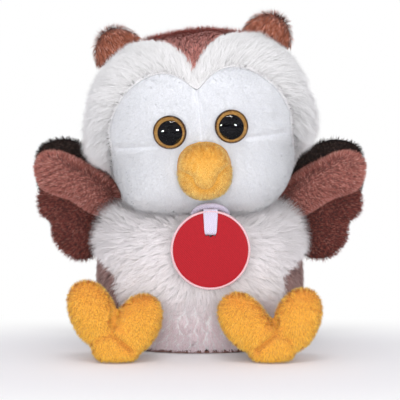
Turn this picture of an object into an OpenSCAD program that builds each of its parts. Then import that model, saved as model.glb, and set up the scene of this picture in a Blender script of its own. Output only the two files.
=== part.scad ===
/* [Torso] */
// Width of the torso at its widest
torso_w = 91; // [82:1:110]
// Depth of the torso at its widest
torso_d = 78; // [72:1:96]
// Height of the torso's flat top above the floor
torso_h = 62; // [60:0.5:66]
// Distance of the torso's middle behind the origin
torso_y = 6; // [4:0.5:8]
// Thickness of the plush fabric
skin_t = 1.2; // [0.8:0.1:1.6]

/* [Head] */
// Width of the head at its widest
head_w = 95; // [84:1:114]
// Depth of the head, front to back
head_d = 82; // [74:1:98]
// Height of the head from chin to crown, before its underside is cut flat
head_h = 77; // [72:1:92]
// Roll of the head towards the owl's own right shoulder, degrees
head_tilt = 5.5; // [0:0.5:8]
// Clear height between the torso's top and the head's underside
neck_gap = 0.8; // [0.6:0.1:1.5]
// Distance of an eye from the head's centre line
eye_x = 13; // [11:0.5:16]
// Diameter of an eye's clear dome
eye_d = 14.4; // [12:0.2:17]
// Width of the upper beak
beak_w = 23; // [18:0.5:26]
// Width of an ear
ear_w = 21; // [16:0.5:25]

/* [Wings] */
// Scale of the wing outlines
wing_scale = 1; // [0.92:0.01:1.08]
// Thickness of the front lobe of a wing
wing_t = 6.4; // [4:0.2:7]
// Distance of a wing's swing axis from the centre line
wing_shaft_x = 18; // [18:0.5:21]

/* [Feet and tag] */
// Length of a toe from the middle of the foot
toe_len = 23; // [18:0.5:26]
// Thickness of a foot
foot_t = 15; // [12:0.5:18]
// Diameter of the swing tag
tag_d = 34; // [28:0.5:38]
// Thickness of the swing tag's card
tag_t = 1; // [0.6:0.1:1.4]

/* [Mechanism] */
// Gear module
gear_m = 0.5; // [0.5:0.1:0.5]
// Wall of the module case
case_wall = 1.6; // [1.2:0.1:2]
// Radius of the wing shafts
shaft_r = 1.5; // [1.2:0.1:1.8]
// Radius of the neck shaft
neck_r = 3; // [2.6:0.1:3.6]
// Radius of one cell
cell_r = 5.25; // [5.25:0.05:5.25]
// Length of one cell
cell_len = 44.5; // [44.5:0.5:44.5]

/* [Hidden] */

// Clearances
run_gap = 0.05;
press_gap = 0.02;
soft_gap = 0.3;
case_gap = 0.4;
door_gap = 0.3;
eps = 0.01;

// Exponent of the rounded soft forms
soft_e = 2.3;
base_z = 1.5;

// Teeth of the gears
wing_z = 24;
small_z = 12;
big_z = 32;
pinion_z = 10;
head_z = 40;

// Shaft positions, seen from above
wing_y = 8;
idler_x = wing_shaft_x - gear_m * wing_z;
red_pos = [idler_x, wing_y + gear_m * (wing_z + small_z) / 2];
wing_pin_pos = [red_pos[0] - gear_m * (big_z + pinion_z) / 2, red_pos[1]];
neck_y = 4;
head_pin_dir = 60;
head_pin_dist = gear_m * (head_z + pinion_z) / 2;
head_pin_pos = [head_pin_dist * cos(head_pin_dir), neck_y + head_pin_dist * sin(head_pin_dir)];

// Module case
case_hx = wing_shaft_x + gear_m * (wing_z + 2) / 2 + 1.9 + case_wall;
case_y0 = -12;
bay_y0 = 4;
cell_gap = 0.4;
bay_y1 = bay_y0 + 4 * cell_r + 3 * cell_gap + 0.2;
case_y1 = bay_y1 + case_wall;
case_cy = (case_y0 + case_y1) / 2;
case_hy = (case_y1 - case_y0) / 2;
case_r = 9;
case_h = 55;
door_z = 0.4;
door_t = 1.6;
cell_z = door_z + door_t + 0.6 + cell_r;
floor_z = cell_z + cell_r + 0.5;
// Gear planes, as the height of each plane's lower face and its thickness
low_z = floor_z + case_wall + 2.1;
low_t = 4;
big_plane_z = low_z + low_t + 2;
big_t = 2.6;
top_plane_z = 47.5;
top_t = 3;
split_z = big_plane_z + big_t + 1.3;
deck_z = split_z;
deck_t = 1.5;
flange_x = 14;
flange_r = 3.5;
flange_t = 3;
screw_r = 1;
bay_hx = cell_len / 2 + 1.95;
door_tab = [16, 0.6];
switch_y = -7;
press_z = 20;
press_travel = 1.5;
board_y = -4.2;
board_t = 1.6;
speaker_r = 12;
speaker_z = split_z + speaker_r + 1.4;
arm_z = 46.2;
arm_h = 2.6;
arm_w = 3.2;

// Head
head_c = [0, 2, torso_h + neck_gap + head_h / 2 - 0.3];
head_gap = 1;
head_bottom = torso_h + neck_gap;
head_a = head_w / 2;
head_b = head_d / 2;
head_cz = head_h / 2;
plate_r = 14;
plate_t = 1.8;
plate_lift = 4;
hub_r = neck_r + 2;
collar_r = neck_r + 3;
post_top = head_bottom + 22;

// ---------------------------------------------------------------- form helpers

function spow(v, e) = sign(v) * pow(abs(v), e);

// Point of a superellipse with half axes a and b at angle t
function superellipse(a, b, t) = [a * spow(cos(t), 2 / soft_e), b * spow(sin(t), 2 / soft_e)];

// Outline of a rounded rectangle, corner radius r
function round_rect(hx, hy, r, n = 5) = [
    for (q = [0:3], i = [0:n])
        let (t = 90 * q + 90 * i / n,
             sx = (q == 0 || q == 3) ? 1 : -1,
             sy = q < 2 ? 1 : -1)
        [sx * (hx - r) + r * cos(t), sy * (hy - r) + r * sin(t)]];

// Closed smooth curve through the points p
function closed_curve(p, n = 4) = [
    for (i = [0:len(p) - 1], k = [0:n - 1])
        let (m = len(p), t = k / n,
             a = p[(i + m - 1) % m], b = p[i], c = p[(i + 1) % m], d = p[(i + 2) % m])
        0.5 * (2 * b + (c - a) * t + (2 * a - 5 * b + 4 * c - d) * t * t
               + (3 * b - a - 3 * c + d) * t * t * t)];

function flat_list(rows) = [for (r = rows, p = r) p];

function mean_point(r) = [for (k = [0:2]) [for (p = r) p[k]] * [for (p = r) 1 / len(r)]];

// Solid through closed rings of points, the end rings closed by a fan
module loft(rows) {
    n = len(rows);
    m = len(rows[0]);
    last = (n - 1) * m;
    points = concat(flat_list(rows), [mean_point(rows[0]), mean_point(rows[n - 1])]);
    sides = [for (i = [0:n - 2], j = [0:m - 1])
        let (a = i * m + j, b = i * m + (j + 1) % m)
        each [[a, b, b + m], [a, b + m, a + m]]];
    fans = [for (j = [0:m - 1])
        each [[n * m, (j + 1) % m, j], [n * m + 1, last + j, last + (j + 1) % m]]];
    polyhedron(points, concat(sides, fans));
}

// Sheet with thickness between two equal grids of points. A ring sheet joins its last column
// to its first; a capped one closes its first or last row to a point, as at a pole.
module sheet_solid(outer, inner, ring = false, cap_first = false, cap_last = false) {
    n = len(outer);
    m = len(outer[0]);
    total = n * m;
    points = concat(flat_list(outer), flat_list(inner),
                    [mean_point(outer[0]), mean_point(inner[0]),
                     mean_point(outer[n - 1]), mean_point(inner[n - 1])]);
    columns = ring ? m - 1 : m - 2;
    faces = [for (i = [0:n - 2], j = [0:columns])
        let (a = i * m + j, b = i * m + (j + 1) % m)
        each [[a, b, b + m], [a, b + m, a + m],
              [total + a, total + b + m, total + b], [total + a, total + a + m, total + b + m]]];
    first = [for (j = [0:columns])
        let (a = j, b = (j + 1) % m)
        each cap_first ? [[2 * total, b, a], [2 * total + 1, total + a, total + b]]
                       : [[a, total + b, b], [a, total + a, total + b]]];
    end = [for (j = [0:columns])
        let (a = (n - 1) * m + j, b = (n - 1) * m + (j + 1) % m)
        each cap_last ? [[2 * total + 2, a, b], [2 * total + 3, total + b, total + a]]
                      : [[a, b, total + b], [a, total + b, total + a]]];
    edges = ring ? [] : [for (i = [0:n - 2])
        let (a = i * m, b = a + m, c = a + m - 1, d = b + m - 1)
        each [[a, b, total + b], [a, total + b, total + a],
              [c, total + d, d], [c, total + c, total + d]]];
    used = concat(faces, first, end, edges);
    polyhedron(points, used);
}

// Soft pad with the outline p in X and Z, t_front towards -Y and t_back towards +Y
module pad(p, t_front, t_back) {
    c = [for (k = [0:1]) [for (q = p) q[k]] * [for (q = p) 1 / len(p)]];
    steps = [[0.55, 0.99], [0.8, 0.85], [0.94, 0.55], [1, 0]];
    front = [for (s = steps) [for (q = p) let (v = c + s[0] * (q - c)) [v[0], -t_front * s[1], v[1]]]];
    back = [for (i = [len(steps) - 2:-1:0]) let (s = steps[i])
        [for (q = p) let (v = c + s[0] * (q - c)) [v[0], t_back * s[1], v[1]]]];
    loft(concat(front, back));
}

// Rounded block: a tall box with round vertical edges
module round_block(hx, hy, r, h) {
    linear_extrude(h) polygon(round_rect(hx, hy, r));
}

// ---------------------------------------------------------------- gear helpers

pressure = 25;

function inv(a) = tan(a) * 180 / PI - a;

// Outline of one involute tooth, centred on the X axis
function tooth(z, play) =
    let (r = gear_m * z / 2, rb = r * cos(pressure), ro = r + 0.8 * gear_m, rr = r - 1.05 * gear_m,
         half = 90 / z - play / r * 90 / PI + inv(pressure),
         r0 = max(rb, rr),
         side = [for (i = [0:3]) let (q = r0 + (ro - r0) * i / 3, a = acos(rb / q)) [q, half - inv(a)]])
    concat([[rr, -side[0][1]]], [for (s = side) [s[0], -s[1]]],
           [for (i = [3:-1:0]) [side[i][0], side[i][1]]], [[rr, side[0][1]]]);

module gear_2d(z, turn, play = 0.06) {
    t = tooth(z, play);
    polygon([for (k = [0:z - 1], q = t)
        let (a = turn + 360 * k / z + q[1]) [q[0] * cos(a), q[0] * sin(a)]]);
}

// Turn of gear B that meshes with gear A at direction dir
function mesh_turn(dir, a, za, zb) = dir + 180 - (360 / zb) * (0.5 - (dir - a) * za / 360);

turn_idler_right = 0;
turn_wing_right = mesh_turn(0, turn_idler_right, wing_z, wing_z);
turn_idler_left = mesh_turn(180, turn_idler_right, wing_z, wing_z);
turn_wing_left = mesh_turn(180, turn_idler_left, wing_z, wing_z);
turn_red = mesh_turn(90, turn_idler_right, wing_z, small_z);
turn_wing_pin = mesh_turn(180, 0, big_z, pinion_z);
turn_head_pin = mesh_turn(head_pin_dir, 0, head_z, pinion_z);

// ---------------------------------------------------------------- torso

// Torso profile: half width, half depth and height of each ring, bottom to neck
function torso_profile() = [
    [0.84, 0.85, base_z], [0.9, 0.91, 5], [0.96, 0.97, 12], [1, 1, 24], [1, 1, 35],
    [0.965, 0.96, torso_h - 17.5], [0.88, 0.87, torso_h - 9], [0.78, 0.77, torso_h - 4.5],
    [0.62, 0.62, torso_h - 1.5], [0.42, 0.42, torso_h - 0.2], [0.2, 0.23, torso_h]];

// Ring of the torso, moved inwards by inset, between two angles measured from the front
function torso_ring(s, inset, from, to, n) =
    let (low = s[2] < 30, tall = s[2] / torso_h,
         a = s[0] * torso_w / 2 - inset * (tall > 0.99 ? 0 : 1),
         b = s[1] * torso_d / 2 - inset * (tall > 0.99 ? 0 : 1),
         z = low ? s[2] : s[2] - inset * pow(tall, 6))
    [for (i = [0:n])
        let (t = from + (to - from) * i / n - 90, p = superellipse(a, b, t))
        [p[0], torso_y + p[1], z]];

function torso_grid(inset, from, to, n) = [
    for (s = torso_profile()) torso_ring(s, inset, from, to, n)];

belly_half = 58;

module torso_sheet(from, to, n) {
    sheet_solid(torso_grid(0, from, to, n), torso_grid(skin_t, from, to, n));
}

// Slot that lets a wing arm swing
module arm_slots(x0, x1, front, back, up) {
    for (s = [-1, 1])
        translate([s > 0 ? x0 : -x1, wing_y - front, arm_z - up])
            cube([x1 - x0, front + back, arm_h + 2 * up]);
}

module belly_plush() {
    color("whitesmoke") torso_sheet(-belly_half, belly_half, 18);
}

module back_plush() {
    color("rosybrown") difference() {
        torso_sheet(belly_half + 0.3, 360 - belly_half - 0.3, 34);
        arm_slots(torso_w / 2 - 12, torso_w / 2 + 3, 8.5, 12.5, 0.8);
    }
}

function base_outline(inset) = [
    for (i = [0:47]) superellipse(0.84 * torso_w / 2 - inset, 0.85 * torso_d / 2 - inset, 360 * i / 48)];

module seat_fabric() {
    color("rosybrown") difference() {
        translate([0, torso_y, 0]) linear_extrude(skin_t) polygon(base_outline(0));
        translate([0, case_cy, -1]) round_block(case_hx + soft_gap, case_hy + soft_gap, case_r + soft_gap, 4);
    }
}

module torso_stuffing() {
    color("white") difference() {
        loft([for (s = torso_profile())
            [for (p = torso_ring([s[0], s[1], max(s[2], skin_t + soft_gap)],
                                 skin_t + soft_gap, 0, 350, 35)) p]]);
        translate([0, case_cy, -1])
            round_block(case_hx + case_gap, case_hy + case_gap, case_r, case_h + case_gap + 1);
        for (s = [-1, 1], y = [case_y0, case_y1])
            translate([s * flange_x, y, split_z - flange_t - 4])
                cylinder(r = flange_r + case_wall + 2, h = 2 * flange_t + 8, $fn = 32);
        translate([0, case_y0 - 6.5, press_z])
            rotate([-90, 0, 0]) cylinder(r = 10, h = 8, $fn = 40);
        arm_slots(case_hx - 1, torso_w / 2 + 3, 8.5, 12.5, 0.8);
        translate([0, neck_y, case_h - 1]) cylinder(r = collar_r + 2, h = 12, $fn = 40);
    }
}

// ---------------------------------------------------------------- module case

// Flanges that join the case halves
module flange_discs(z) {
    for (s = [-1, 1], y = [case_y0 - flange_r + 1, case_y1 + flange_r - 1])
        translate([s * flange_x, y, z]) cylinder(r = flange_r, h = flange_t, $fn = 40);
}

module flange_holes(hole_r) {
    for (s = [-1, 1], y = [case_y0 - flange_r + 1, case_y1 + flange_r - 1])
        translate([s * flange_x, y, split_z - flange_t - 1])
            cylinder(r = hole_r, h = 2 * flange_t + 2, $fn = 24);
}

// Bearing bosses on the floor of the gear room
module floor_bosses() {
    for (p = [[-wing_shaft_x, wing_y], [-idler_x, wing_y], [idler_x, wing_y], [wing_shaft_x, wing_y], red_pos])
        translate([p[0], p[1], floor_z]) cylinder(r = 2.6, h = low_z - floor_z - soft_gap, $fn = 40);
}

module case_lower() {
    color("gainsboro") difference() {
        union() {
            difference() {
                translate([0, case_cy, 0]) round_block(case_hx, case_hy, case_r, split_z);
                translate([0, case_cy, floor_z + case_wall])
                    round_block(case_hx - case_wall, case_hy - case_wall, case_r - case_wall, split_z);
                // Room in front of the cells
                translate([-case_hx + case_r, case_y0 + case_wall, case_wall])
                    cube([2 * (case_hx - case_r), bay_y0 - 2 * case_wall - case_y0, floor_z - case_wall]);
                // Cell bay, open at the bottom
                translate([-bay_hx, bay_y0, -1]) cube([2 * bay_hx, bay_y1 - bay_y0, floor_z + 1]);
            }
            floor_bosses();
            flange_discs(split_z - flange_t);
            // Screw boss of the battery door
            translate([door_tab[0], door_tab[1], door_z + door_t + 0.2])
                cylinder(r = 2.6, h = 7, $fn = 32);
            for (s = [-1, 1])
                translate([8 * s, switch_y, case_wall - eps]) cylinder(r = 1.2, h = 1.8 + eps, $fn = 24);
            // Guide of the press pad
            translate([0, case_y0 - 1.5, press_z]) rotate([-90, 0, 0])
                cylinder(r = 3.4, h = case_wall + 1.5, $fn = 40);
        }
        flange_holes(screw_r + 0.04);
        for (s = [-1, 1]) translate([s * wing_shaft_x, wing_y, floor_z + 0.6])
            cylinder(r = shaft_r + run_gap, h = 8, $fn = 40);
        for (p = [[-idler_x, wing_y], [idler_x, wing_y], red_pos])
            translate([p[0], p[1], floor_z + 0.6]) cylinder(r = screw_r + press_gap, h = 8, $fn = 32);
        // Tab of the battery door
        translate([door_tab[0] - 4 - door_gap, door_tab[1] - 3.6, -1])
            cube([8 + 2 * door_gap, bay_y0 + 4 - door_tab[1], door_z + door_t + 1.2]);
        translate([door_tab[0], door_tab[1], 1]) cylinder(r = 0.95, h = 6.6, $fn = 24);
        // Window of the power slider
        translate([-4.5, switch_y - 1.5, -1]) cube([9, 3, 4]);
        translate([0, case_y0 - 4, press_z]) rotate([-90, 0, 0])
            cylinder(r = 2 + run_gap, h = 9, $fn = 40);
    }
}

module case_upper() {
    room_top = case_h - case_wall;
    color("silver") difference() {
        union() {
            difference() {
                translate([0, case_cy, split_z])
                    round_block(case_hx, case_hy, case_r, case_h - split_z);
                translate([0, case_cy, split_z - 1])
                    round_block(case_hx - case_wall, case_hy - case_wall, case_r - case_wall,
                                room_top - split_z + 1);
            }
            flange_discs(split_z);
            // Neck bearing
            translate([0, neck_y, room_top]) cylinder(r = collar_r, h = torso_h - 1.2 - room_top, $fn = 48);
            for (s = [-1, 1]) translate([s * wing_shaft_x, wing_y, room_top - 1.6])
                cylinder(r = 3, h = 2, $fn = 40);
            // Ring that holds the speaker
            translate([0, case_y0 + case_wall - eps, speaker_z]) rotate([-90, 0, 0])
                cylinder(r = speaker_r + 1.2, h = 2, $fn = 48);
        }
        flange_holes(screw_r + 0.04);
        translate([0, case_y0 + case_wall, speaker_z]) rotate([-90, 0, 0])
            cylinder(r = speaker_r + soft_gap / 2, h = 8, $fn = 48);
        translate([0, neck_y, room_top - 1]) cylinder(r = neck_r + run_gap, h = 20, $fn = 48);
        for (s = [-1, 1]) translate([s * wing_shaft_x, wing_y, room_top - 2])
            cylinder(r = shaft_r + run_gap, h = 2.8, $fn = 40);
        arm_slots(case_hx - case_wall - 1, case_hx + 1, 4.5, 6.5, 0.7);
        // Sound holes
        translate([0, case_y0 - 1, speaker_z]) rotate([-90, 0, 0]) {
            cylinder(r = 0.9, h = 4, $fn = 24);
            for (k = [0:5]) rotate(60 * k) translate([5, 0, 0]) cylinder(r = 0.9, h = 4, $fn = 24);
        }
    }
}

module case_screws() {
    color("dimgray") for (s = [-1, 1], y = [case_y0 - flange_r + 1, case_y1 + flange_r - 1])
        translate([s * flange_x, y, split_z + flange_t]) {
            cylinder(r = 2, h = 1.2, $fn = 32);
            translate([0, 0, 0.2 - 2 * flange_t]) cylinder(r = screw_r, h = 2 * flange_t, $fn = 32);
        }
}

module gear_deck() {
    color("lightslategray") difference() {
        translate([0, case_cy, deck_z])
            round_block(case_hx - case_wall - press_gap * 5, case_hy - case_wall - press_gap * 5,
                        case_r - case_wall, deck_t);
        for (s = [-1, 1]) translate([s * wing_shaft_x, wing_y, deck_z - 1])
            cylinder(r = shaft_r + run_gap, h = 4, $fn = 40);
        translate([red_pos[0], red_pos[1], deck_z - 1]) cylinder(r = screw_r + press_gap, h = 4, $fn = 32);
        translate([wing_pin_pos[0], wing_pin_pos[1], deck_z - 1]) cylinder(r = 2.4, h = 4, $fn = 40);
        // Room for the circuit board and the speaker
        translate([-case_hx, case_y0, deck_z - 1]) cube([2 * case_hx, board_y + board_t + 0.3 - case_y0, 4]);
    }
}

// ---------------------------------------------------------------- drives

module motor(p, z, up) {
    translate([p[0], p[1], z]) mirror([0, 0, up ? 0 : 1]) difference() {
        union() {
            intersection() {
                translate([0, 0, -14]) round_block(5, 6, 1, 14);
                translate([0, 0, -15]) cylinder(r = 6, h = 16, $fn = 48);
            }
            cylinder(r = 2, h = 0.8, $fn = 32);
            translate([0, 0, -15]) cylinder(r = 2.5, h = 1.5, $fn = 32);
            for (s = [-1, 1]) translate([2 * s - 0.75, -0.25, -16.5]) cube([1.5, 0.5, 3]);
        }
        translate([0, 0, -6]) cylinder(r = 0.75 + run_gap, h = 8, $fn = 32);
    }
}

// Motor pinion on its own steel shaft, the shaft towards -Z
module motor_pinion(turn, h) {
    linear_extrude(h) gear_2d(pinion_z, turn);
    translate([0, 0, -6.5]) cylinder(r = 0.75, h = 7, $fn = 32);
}

module wing_motor() {
    color("lightsteelblue") motor(wing_pin_pos, deck_z + deck_t, false);
}

module head_motor() {
    color("lightsteelblue") union() {
        motor(head_pin_pos, top_plane_z - 1.3, true);
        // Bracket down to the deck
        translate([head_pin_pos[0] - 4, head_pin_pos[1] - 3, deck_z + deck_t])
            cube([8, 1, top_plane_z - 1.3 - 13 - deck_z - deck_t]);
        translate([head_pin_pos[0] - 4, head_pin_pos[1] - 3, top_plane_z - 16.3])
            cube([8, 6, 2]);
    }
}

module wing_pinion() {
    color("goldenrod") translate([wing_pin_pos[0], wing_pin_pos[1], big_plane_z + big_t])
        mirror([0, 0, 1]) motor_pinion(turn_wing_pin, big_t);
}

module head_pinion() {
    color("goldenrod") translate([head_pin_pos[0], head_pin_pos[1], top_plane_z])
        motor_pinion(turn_head_pin, top_t);
}

module idler(x, turn) {
    translate([x, wing_y, low_z]) difference() {
        linear_extrude(low_t) gear_2d(wing_z, turn);
        translate([0, 0, -1]) cylinder(r = screw_r + run_gap, h = low_t + 2, $fn = 32);
    }
}

module idler_gear_left() { color("ivory") idler(-idler_x, turn_idler_left); }

module idler_gear_right() { color("ivory") idler(idler_x, turn_idler_right); }

module reduction_gear() {
    color("khaki") translate([red_pos[0], red_pos[1], low_z]) difference() {
        union() {
            linear_extrude(low_t + eps) gear_2d(small_z, turn_red);
            translate([0, 0, low_t]) cylinder(r = 2.2, h = 2, $fn = 40);
            translate([0, 0, big_plane_z - low_z]) linear_extrude(big_t) gear_2d(big_z, 0);
        }
        translate([0, 0, -1]) cylinder(r = screw_r + run_gap, h = 12, $fn = 32);
    }
}

// Short pins for the idlers, which pass under the big gear, and one up to the deck
module gear_pins() {
    low = floor_z + 0.8;
    color("silver") {
        for (s = [-1, 1]) translate([s * idler_x, wing_y, low])
            cylinder(r = screw_r, h = low_z + low_t + 0.8 - low, $fn = 32);
        translate([red_pos[0], red_pos[1], low])
            cylinder(r = screw_r, h = deck_z + deck_t - low, $fn = 32);
    }
}

module wing_shaft(x, turn) {
    translate([x, wing_y, 0]) {
        translate([0, 0, floor_z + 0.8])
            cylinder(r = shaft_r, h = case_h - case_wall + 0.4 - floor_z - 0.8, $fn = 40);
        translate([0, 0, low_z]) linear_extrude(low_t) gear_2d(wing_z, turn);
    }
}

module wing_shaft_left() { color("ivory") wing_shaft(-wing_shaft_x, turn_wing_left); }

module wing_shaft_right() { color("ivory") wing_shaft(wing_shaft_x, turn_wing_right); }

module neck_shaft() {
    color("gainsboro") difference() {
        translate([0, neck_y, top_plane_z - 1.6]) cylinder(r = neck_r, h = post_top - top_plane_z, $fn = 48);
        translate([0, neck_y, top_plane_z - 3]) cylinder(r = 1.2, h = post_top, $fn = 32);
    }
}

module head_gear() {
    color("khaki") translate([0, neck_y, top_plane_z]) difference() {
        union() {
            linear_extrude(top_t) gear_2d(head_z, 0);
            translate([0, 0, top_t - eps])
                cylinder(r = hub_r, h = case_h - case_wall - 0.3 - top_plane_z - top_t, $fn = 40);
        }
        translate([0, 0, -1]) cylinder(r = neck_r + press_gap, h = 12, $fn = 48);
    }
}

module neck_plate() {
    color("gainsboro") translate([0, neck_y, head_bottom + skin_t + soft_gap]) difference() {
        union() {
            translate([0, 0, plate_lift]) cylinder(r = plate_r, h = plate_t, $fn = 64);
            cylinder(r = hub_r, h = plate_lift + eps, $fn = 48);
        }
        translate([0, 0, -1]) cylinder(r = neck_r + press_gap, h = plate_lift + plate_t + 2, $fn = 48);
    }
}

// ---------------------------------------------------------------- power and sound

module batteries() {
    color("seagreen") for (k = [0, 1])
        translate([-cell_len / 2, bay_y0 + cell_gap + cell_r + k * (2 * cell_r + cell_gap), cell_z])
            rotate([0, 90, 0]) {
                cylinder(r = cell_r, h = cell_len - 1, $fn = 48);
                translate([0, 0, cell_len - 1.5]) cylinder(r = 1.9, h = 1.5, $fn = 32);
            }
}

module battery_contacts() {
    cy = bay_y0 + cell_gap + cell_r;
    cz = cell_z;
    color("silver") {
        translate([bay_hx - 0.7, cy - 4, cz - 4]) cube([0.5, 2 * cell_r + cell_gap + 8, 8]);
        for (k = [0, 1]) translate([-bay_hx + 0.2, cy - 4 + k * (2 * cell_r + cell_gap), cz - 4]) {
            cube([0.5, 8, 8]);
            translate([0.4, 4, 4]) rotate([0, 90, 0]) cylinder(r1 = 3, r2 = 1.6, h = 1, $fn = 32);
        }
    }
}

module battery_door() {
    tab_y0 = door_tab[1] - 3.3;
    color("gainsboro") difference() {
        union() {
            translate([-bay_hx + door_gap, bay_y0 + door_gap, door_z])
                cube([2 * (bay_hx - door_gap), bay_y1 - bay_y0 - 2 * door_gap, door_t]);
            translate([door_tab[0] - 4, tab_y0, door_z]) cube([8, bay_y0 + 2 - tab_y0, door_t]);
        }
        translate([door_tab[0], door_tab[1], door_z - 1]) cylinder(r = 1.1, h = 4, $fn = 24);
        translate([door_tab[0], door_tab[1], door_z - 1]) cylinder(r = 2.1, h = 1.9, $fn = 32);
    }
}

module door_screw() {
    color("dimgray") translate([door_tab[0], door_tab[1], door_z]) {
        cylinder(r = 1.9, h = 0.8, $fn = 32);
        cylinder(r = 0.9, h = 6, $fn = 32);
    }
}

module power_switch() {
    color("dimgray") translate([0, switch_y, case_wall + 1.8]) {
        translate([-9.5, -1.8, 0]) cube([19, 3.6, 0.8]);
        translate([-6, -2.8, 0]) cube([12, 5.6, 4.5]);
    }
}

module power_slider() {
    color("black") translate([-4, switch_y - 1.2, door_z]) cube([4, 2.4, case_wall + 1.5 - door_z]);
}

module circuit_board() {
    color("darkgreen") {
        translate([-22, board_y, floor_z + case_wall]) cube([44, board_t, 30]);
        translate([-18, board_y + board_t, 34]) cube([8, 1.5, 8]);
        translate([9, board_y + board_t, 36]) cube([5, 2.5, 6]);
        translate([-20, board_y + board_t, split_z + 3]) cube([7, 3, 3]);
    }
}

module press_switch() {
    color("dimgray") translate([-3, board_y - 3.1, press_z - 3]) cube([6, 3.1, 6]);
}

module press_pad() {
    color("white") translate([0, case_y0 - 3.2, press_z]) rotate([-90, 0, 0]) {
        translate([0, 0, -1.6]) cylinder(r = 8.5, h = 1.6, $fn = 48);
        translate([0, 0, -eps]) cylinder(r = 2, h = board_y - 3.1 - press_travel - 0.3 - case_y0 + 3.2, $fn = 40);
    }
}

module speaker_frame() {
    color("dimgray") translate([0, case_y0 + case_wall + 0.05, speaker_z]) rotate([-90, 0, 0]) difference() {
        union() {
            cylinder(r = speaker_r, h = 3, $fn = 48);
            cylinder(r = 6, h = 5.8, $fn = 40);
        }
        translate([0, 0, -1]) cylinder(r = speaker_r - 1.2, h = 2.6, $fn = 48);
    }
}

module speaker_cone() {
    color("black") translate([0, case_y0 + case_wall + 0.35, speaker_z]) rotate([-90, 0, 0])
        rotate_extrude($fn = 48)
            polygon([[0, 0.75], [3, 0.75], [speaker_r - 1.5, 0], [speaker_r - 1.5, 0.3], [3, 1.1], [0, 1.1]]);
}

// ---------------------------------------------------------------- wings

// Root of a wing, clear of the torso and of the head; the outlines are measured from it
wing_root = [max(torso_w / 2 + 1.9, head_w / 2 - 0.1), torso_h - 2];

function at_root(p) = [for (q = p) wing_root + wing_scale * q];

// Front lobe, its tip to the side
upper_outline = [[-8.4, 5.5], [-6.9, 14], [-0.9, 20.5], [7.6, 25.8], [16.6, 27.4], [24.1, 25.8],
                 [27.2, 19.5], [23.6, 10.5], [11.6, 5.5], [1.6, -1.2], [-3.9, -0.5]];

// Lower layer with its two scallops
lower_outline = [[0.1, 1], [0, -12], [1.6, -20.5], [8.6, -22.6], [15.6, -18.6], [19.6, -11.8],
                 [20, -5], [25, -1.2], [26.1, 5], [22.6, 13], [11.6, 16], [-0.4, 12]];

// Dark back of the wing, a little taller than the front lobe
back_outline = [[-7.4, 6], [-5.9, 17], [2.1, 24], [10.1, 30.2], [17.1, 30.9], [23.6, 28], [26.6, 20],
                [24.6, 6], [20.6, -5], [14.6, -15], [4.6, -18], [0.6, -12], [0.4, 0]];

// Layer of a wing in front of the height y, flat behind
module wing_pad(outline, y, t) {
    translate([0, y, 0]) pad(closed_curve(at_root(outline), 3), t - flat_back, flat_back);
}

flat_back = 0.5;

// Stiff paddle inside a wing
paddle_outline = [[4.6, -13.5], [11.6, -10], [16.6, 0], [18.6, 16], [10.6, 19], [4.6, 10]];

lower_t = 4;
back_t = 4;
paddle_t = 1.8;
layer_gap = 0.35;
back_wing_y = wing_y + paddle_t / 2 + layer_gap + flat_back;
lower_wing_y = wing_y - paddle_t / 2 - layer_gap - flat_back;
upper_wing_y = lower_wing_y - lower_t + flat_back - layer_gap - flat_back;

module upper_lobe() {
    wing_pad(upper_outline, upper_wing_y, wing_t);
}

module lower_layer() {
    wing_pad(lower_outline, lower_wing_y, lower_t);
}

module wing_rear() {
    translate([0, back_wing_y, 0])
        pad(closed_curve(at_root(back_outline), 3), flat_back, back_t - flat_back);
}

// Arm on the shaft, with the paddle that stiffens the wing
module arm() {
    difference() {
        union() {
            translate([wing_shaft_x, wing_y, arm_z - 0.4]) cylinder(r = 3.4, h = arm_h + 0.8, $fn = 40);
            translate([wing_shaft_x, wing_y - arm_w / 2, arm_z])
                cube([wing_root[0] - 0.8 - wing_shaft_x, arm_w, arm_h]);
            translate([wing_root[0] - 1.4, wing_y - paddle_t / 2, arm_z]) cube([8, paddle_t, arm_h]);
            translate([0, wing_y + paddle_t / 2, 0]) rotate([90, 0, 0]) linear_extrude(paddle_t)
                polygon(closed_curve(at_root(paddle_outline), 3));
        }
        translate([wing_shaft_x, wing_y, arm_z - 2]) cylinder(r = shaft_r + press_gap, h = arm_h + 4, $fn = 40);
    }
}

module wing_arm_right() { color("gainsboro") arm(); }
module wing_arm_left() { color("gainsboro") mirror([1, 0, 0]) arm(); }
module wing_back_right() { color("black") wing_rear(); }
module wing_back_left() { color("black") mirror([1, 0, 0]) wing_rear(); }
module wing_upper_right() { color("sienna") upper_lobe(); }
module wing_upper_left() { color("sienna") mirror([1, 0, 0]) upper_lobe(); }
module wing_lower_right() { color("saddlebrown") lower_layer(); }
module wing_lower_left() { color("saddlebrown") mirror([1, 0, 0]) lower_layer(); }

// ---------------------------------------------------------------- head

// Direction from the head's centre: rho from straight ahead, phi around it from the owl's left
function ray(phi, rho) = [sin(rho) * cos(phi), -cos(rho), sin(rho) * sin(phi)];

function smooth(t) = let (u = min(1, max(0, t))) u * u * (3 - 2 * u);

// Point of the head's surface, moved inwards by inset, flat below and rolled above
function head_point(phi, rho, inset) =
    let (d = ray(phi, rho),
         r = pow(pow(abs(d[0]) / (head_a - inset), soft_e) + pow(abs(d[1]) / (head_b - inset), soft_e)
                 + pow(abs(d[2]) / (head_cz - inset), soft_e), -1 / soft_e),
         floor_level = head_bottom + inset - head_c[2],
         p = r * d,
         q = p[2] < floor_level ? p * (floor_level / p[2]) : p,
         a = head_tilt * smooth((q[2] - floor_level) / 14))
    head_c + [q[0] * cos(a) - q[2] * sin(a), q[1], q[0] * sin(a) + q[2] * cos(a)];

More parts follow.
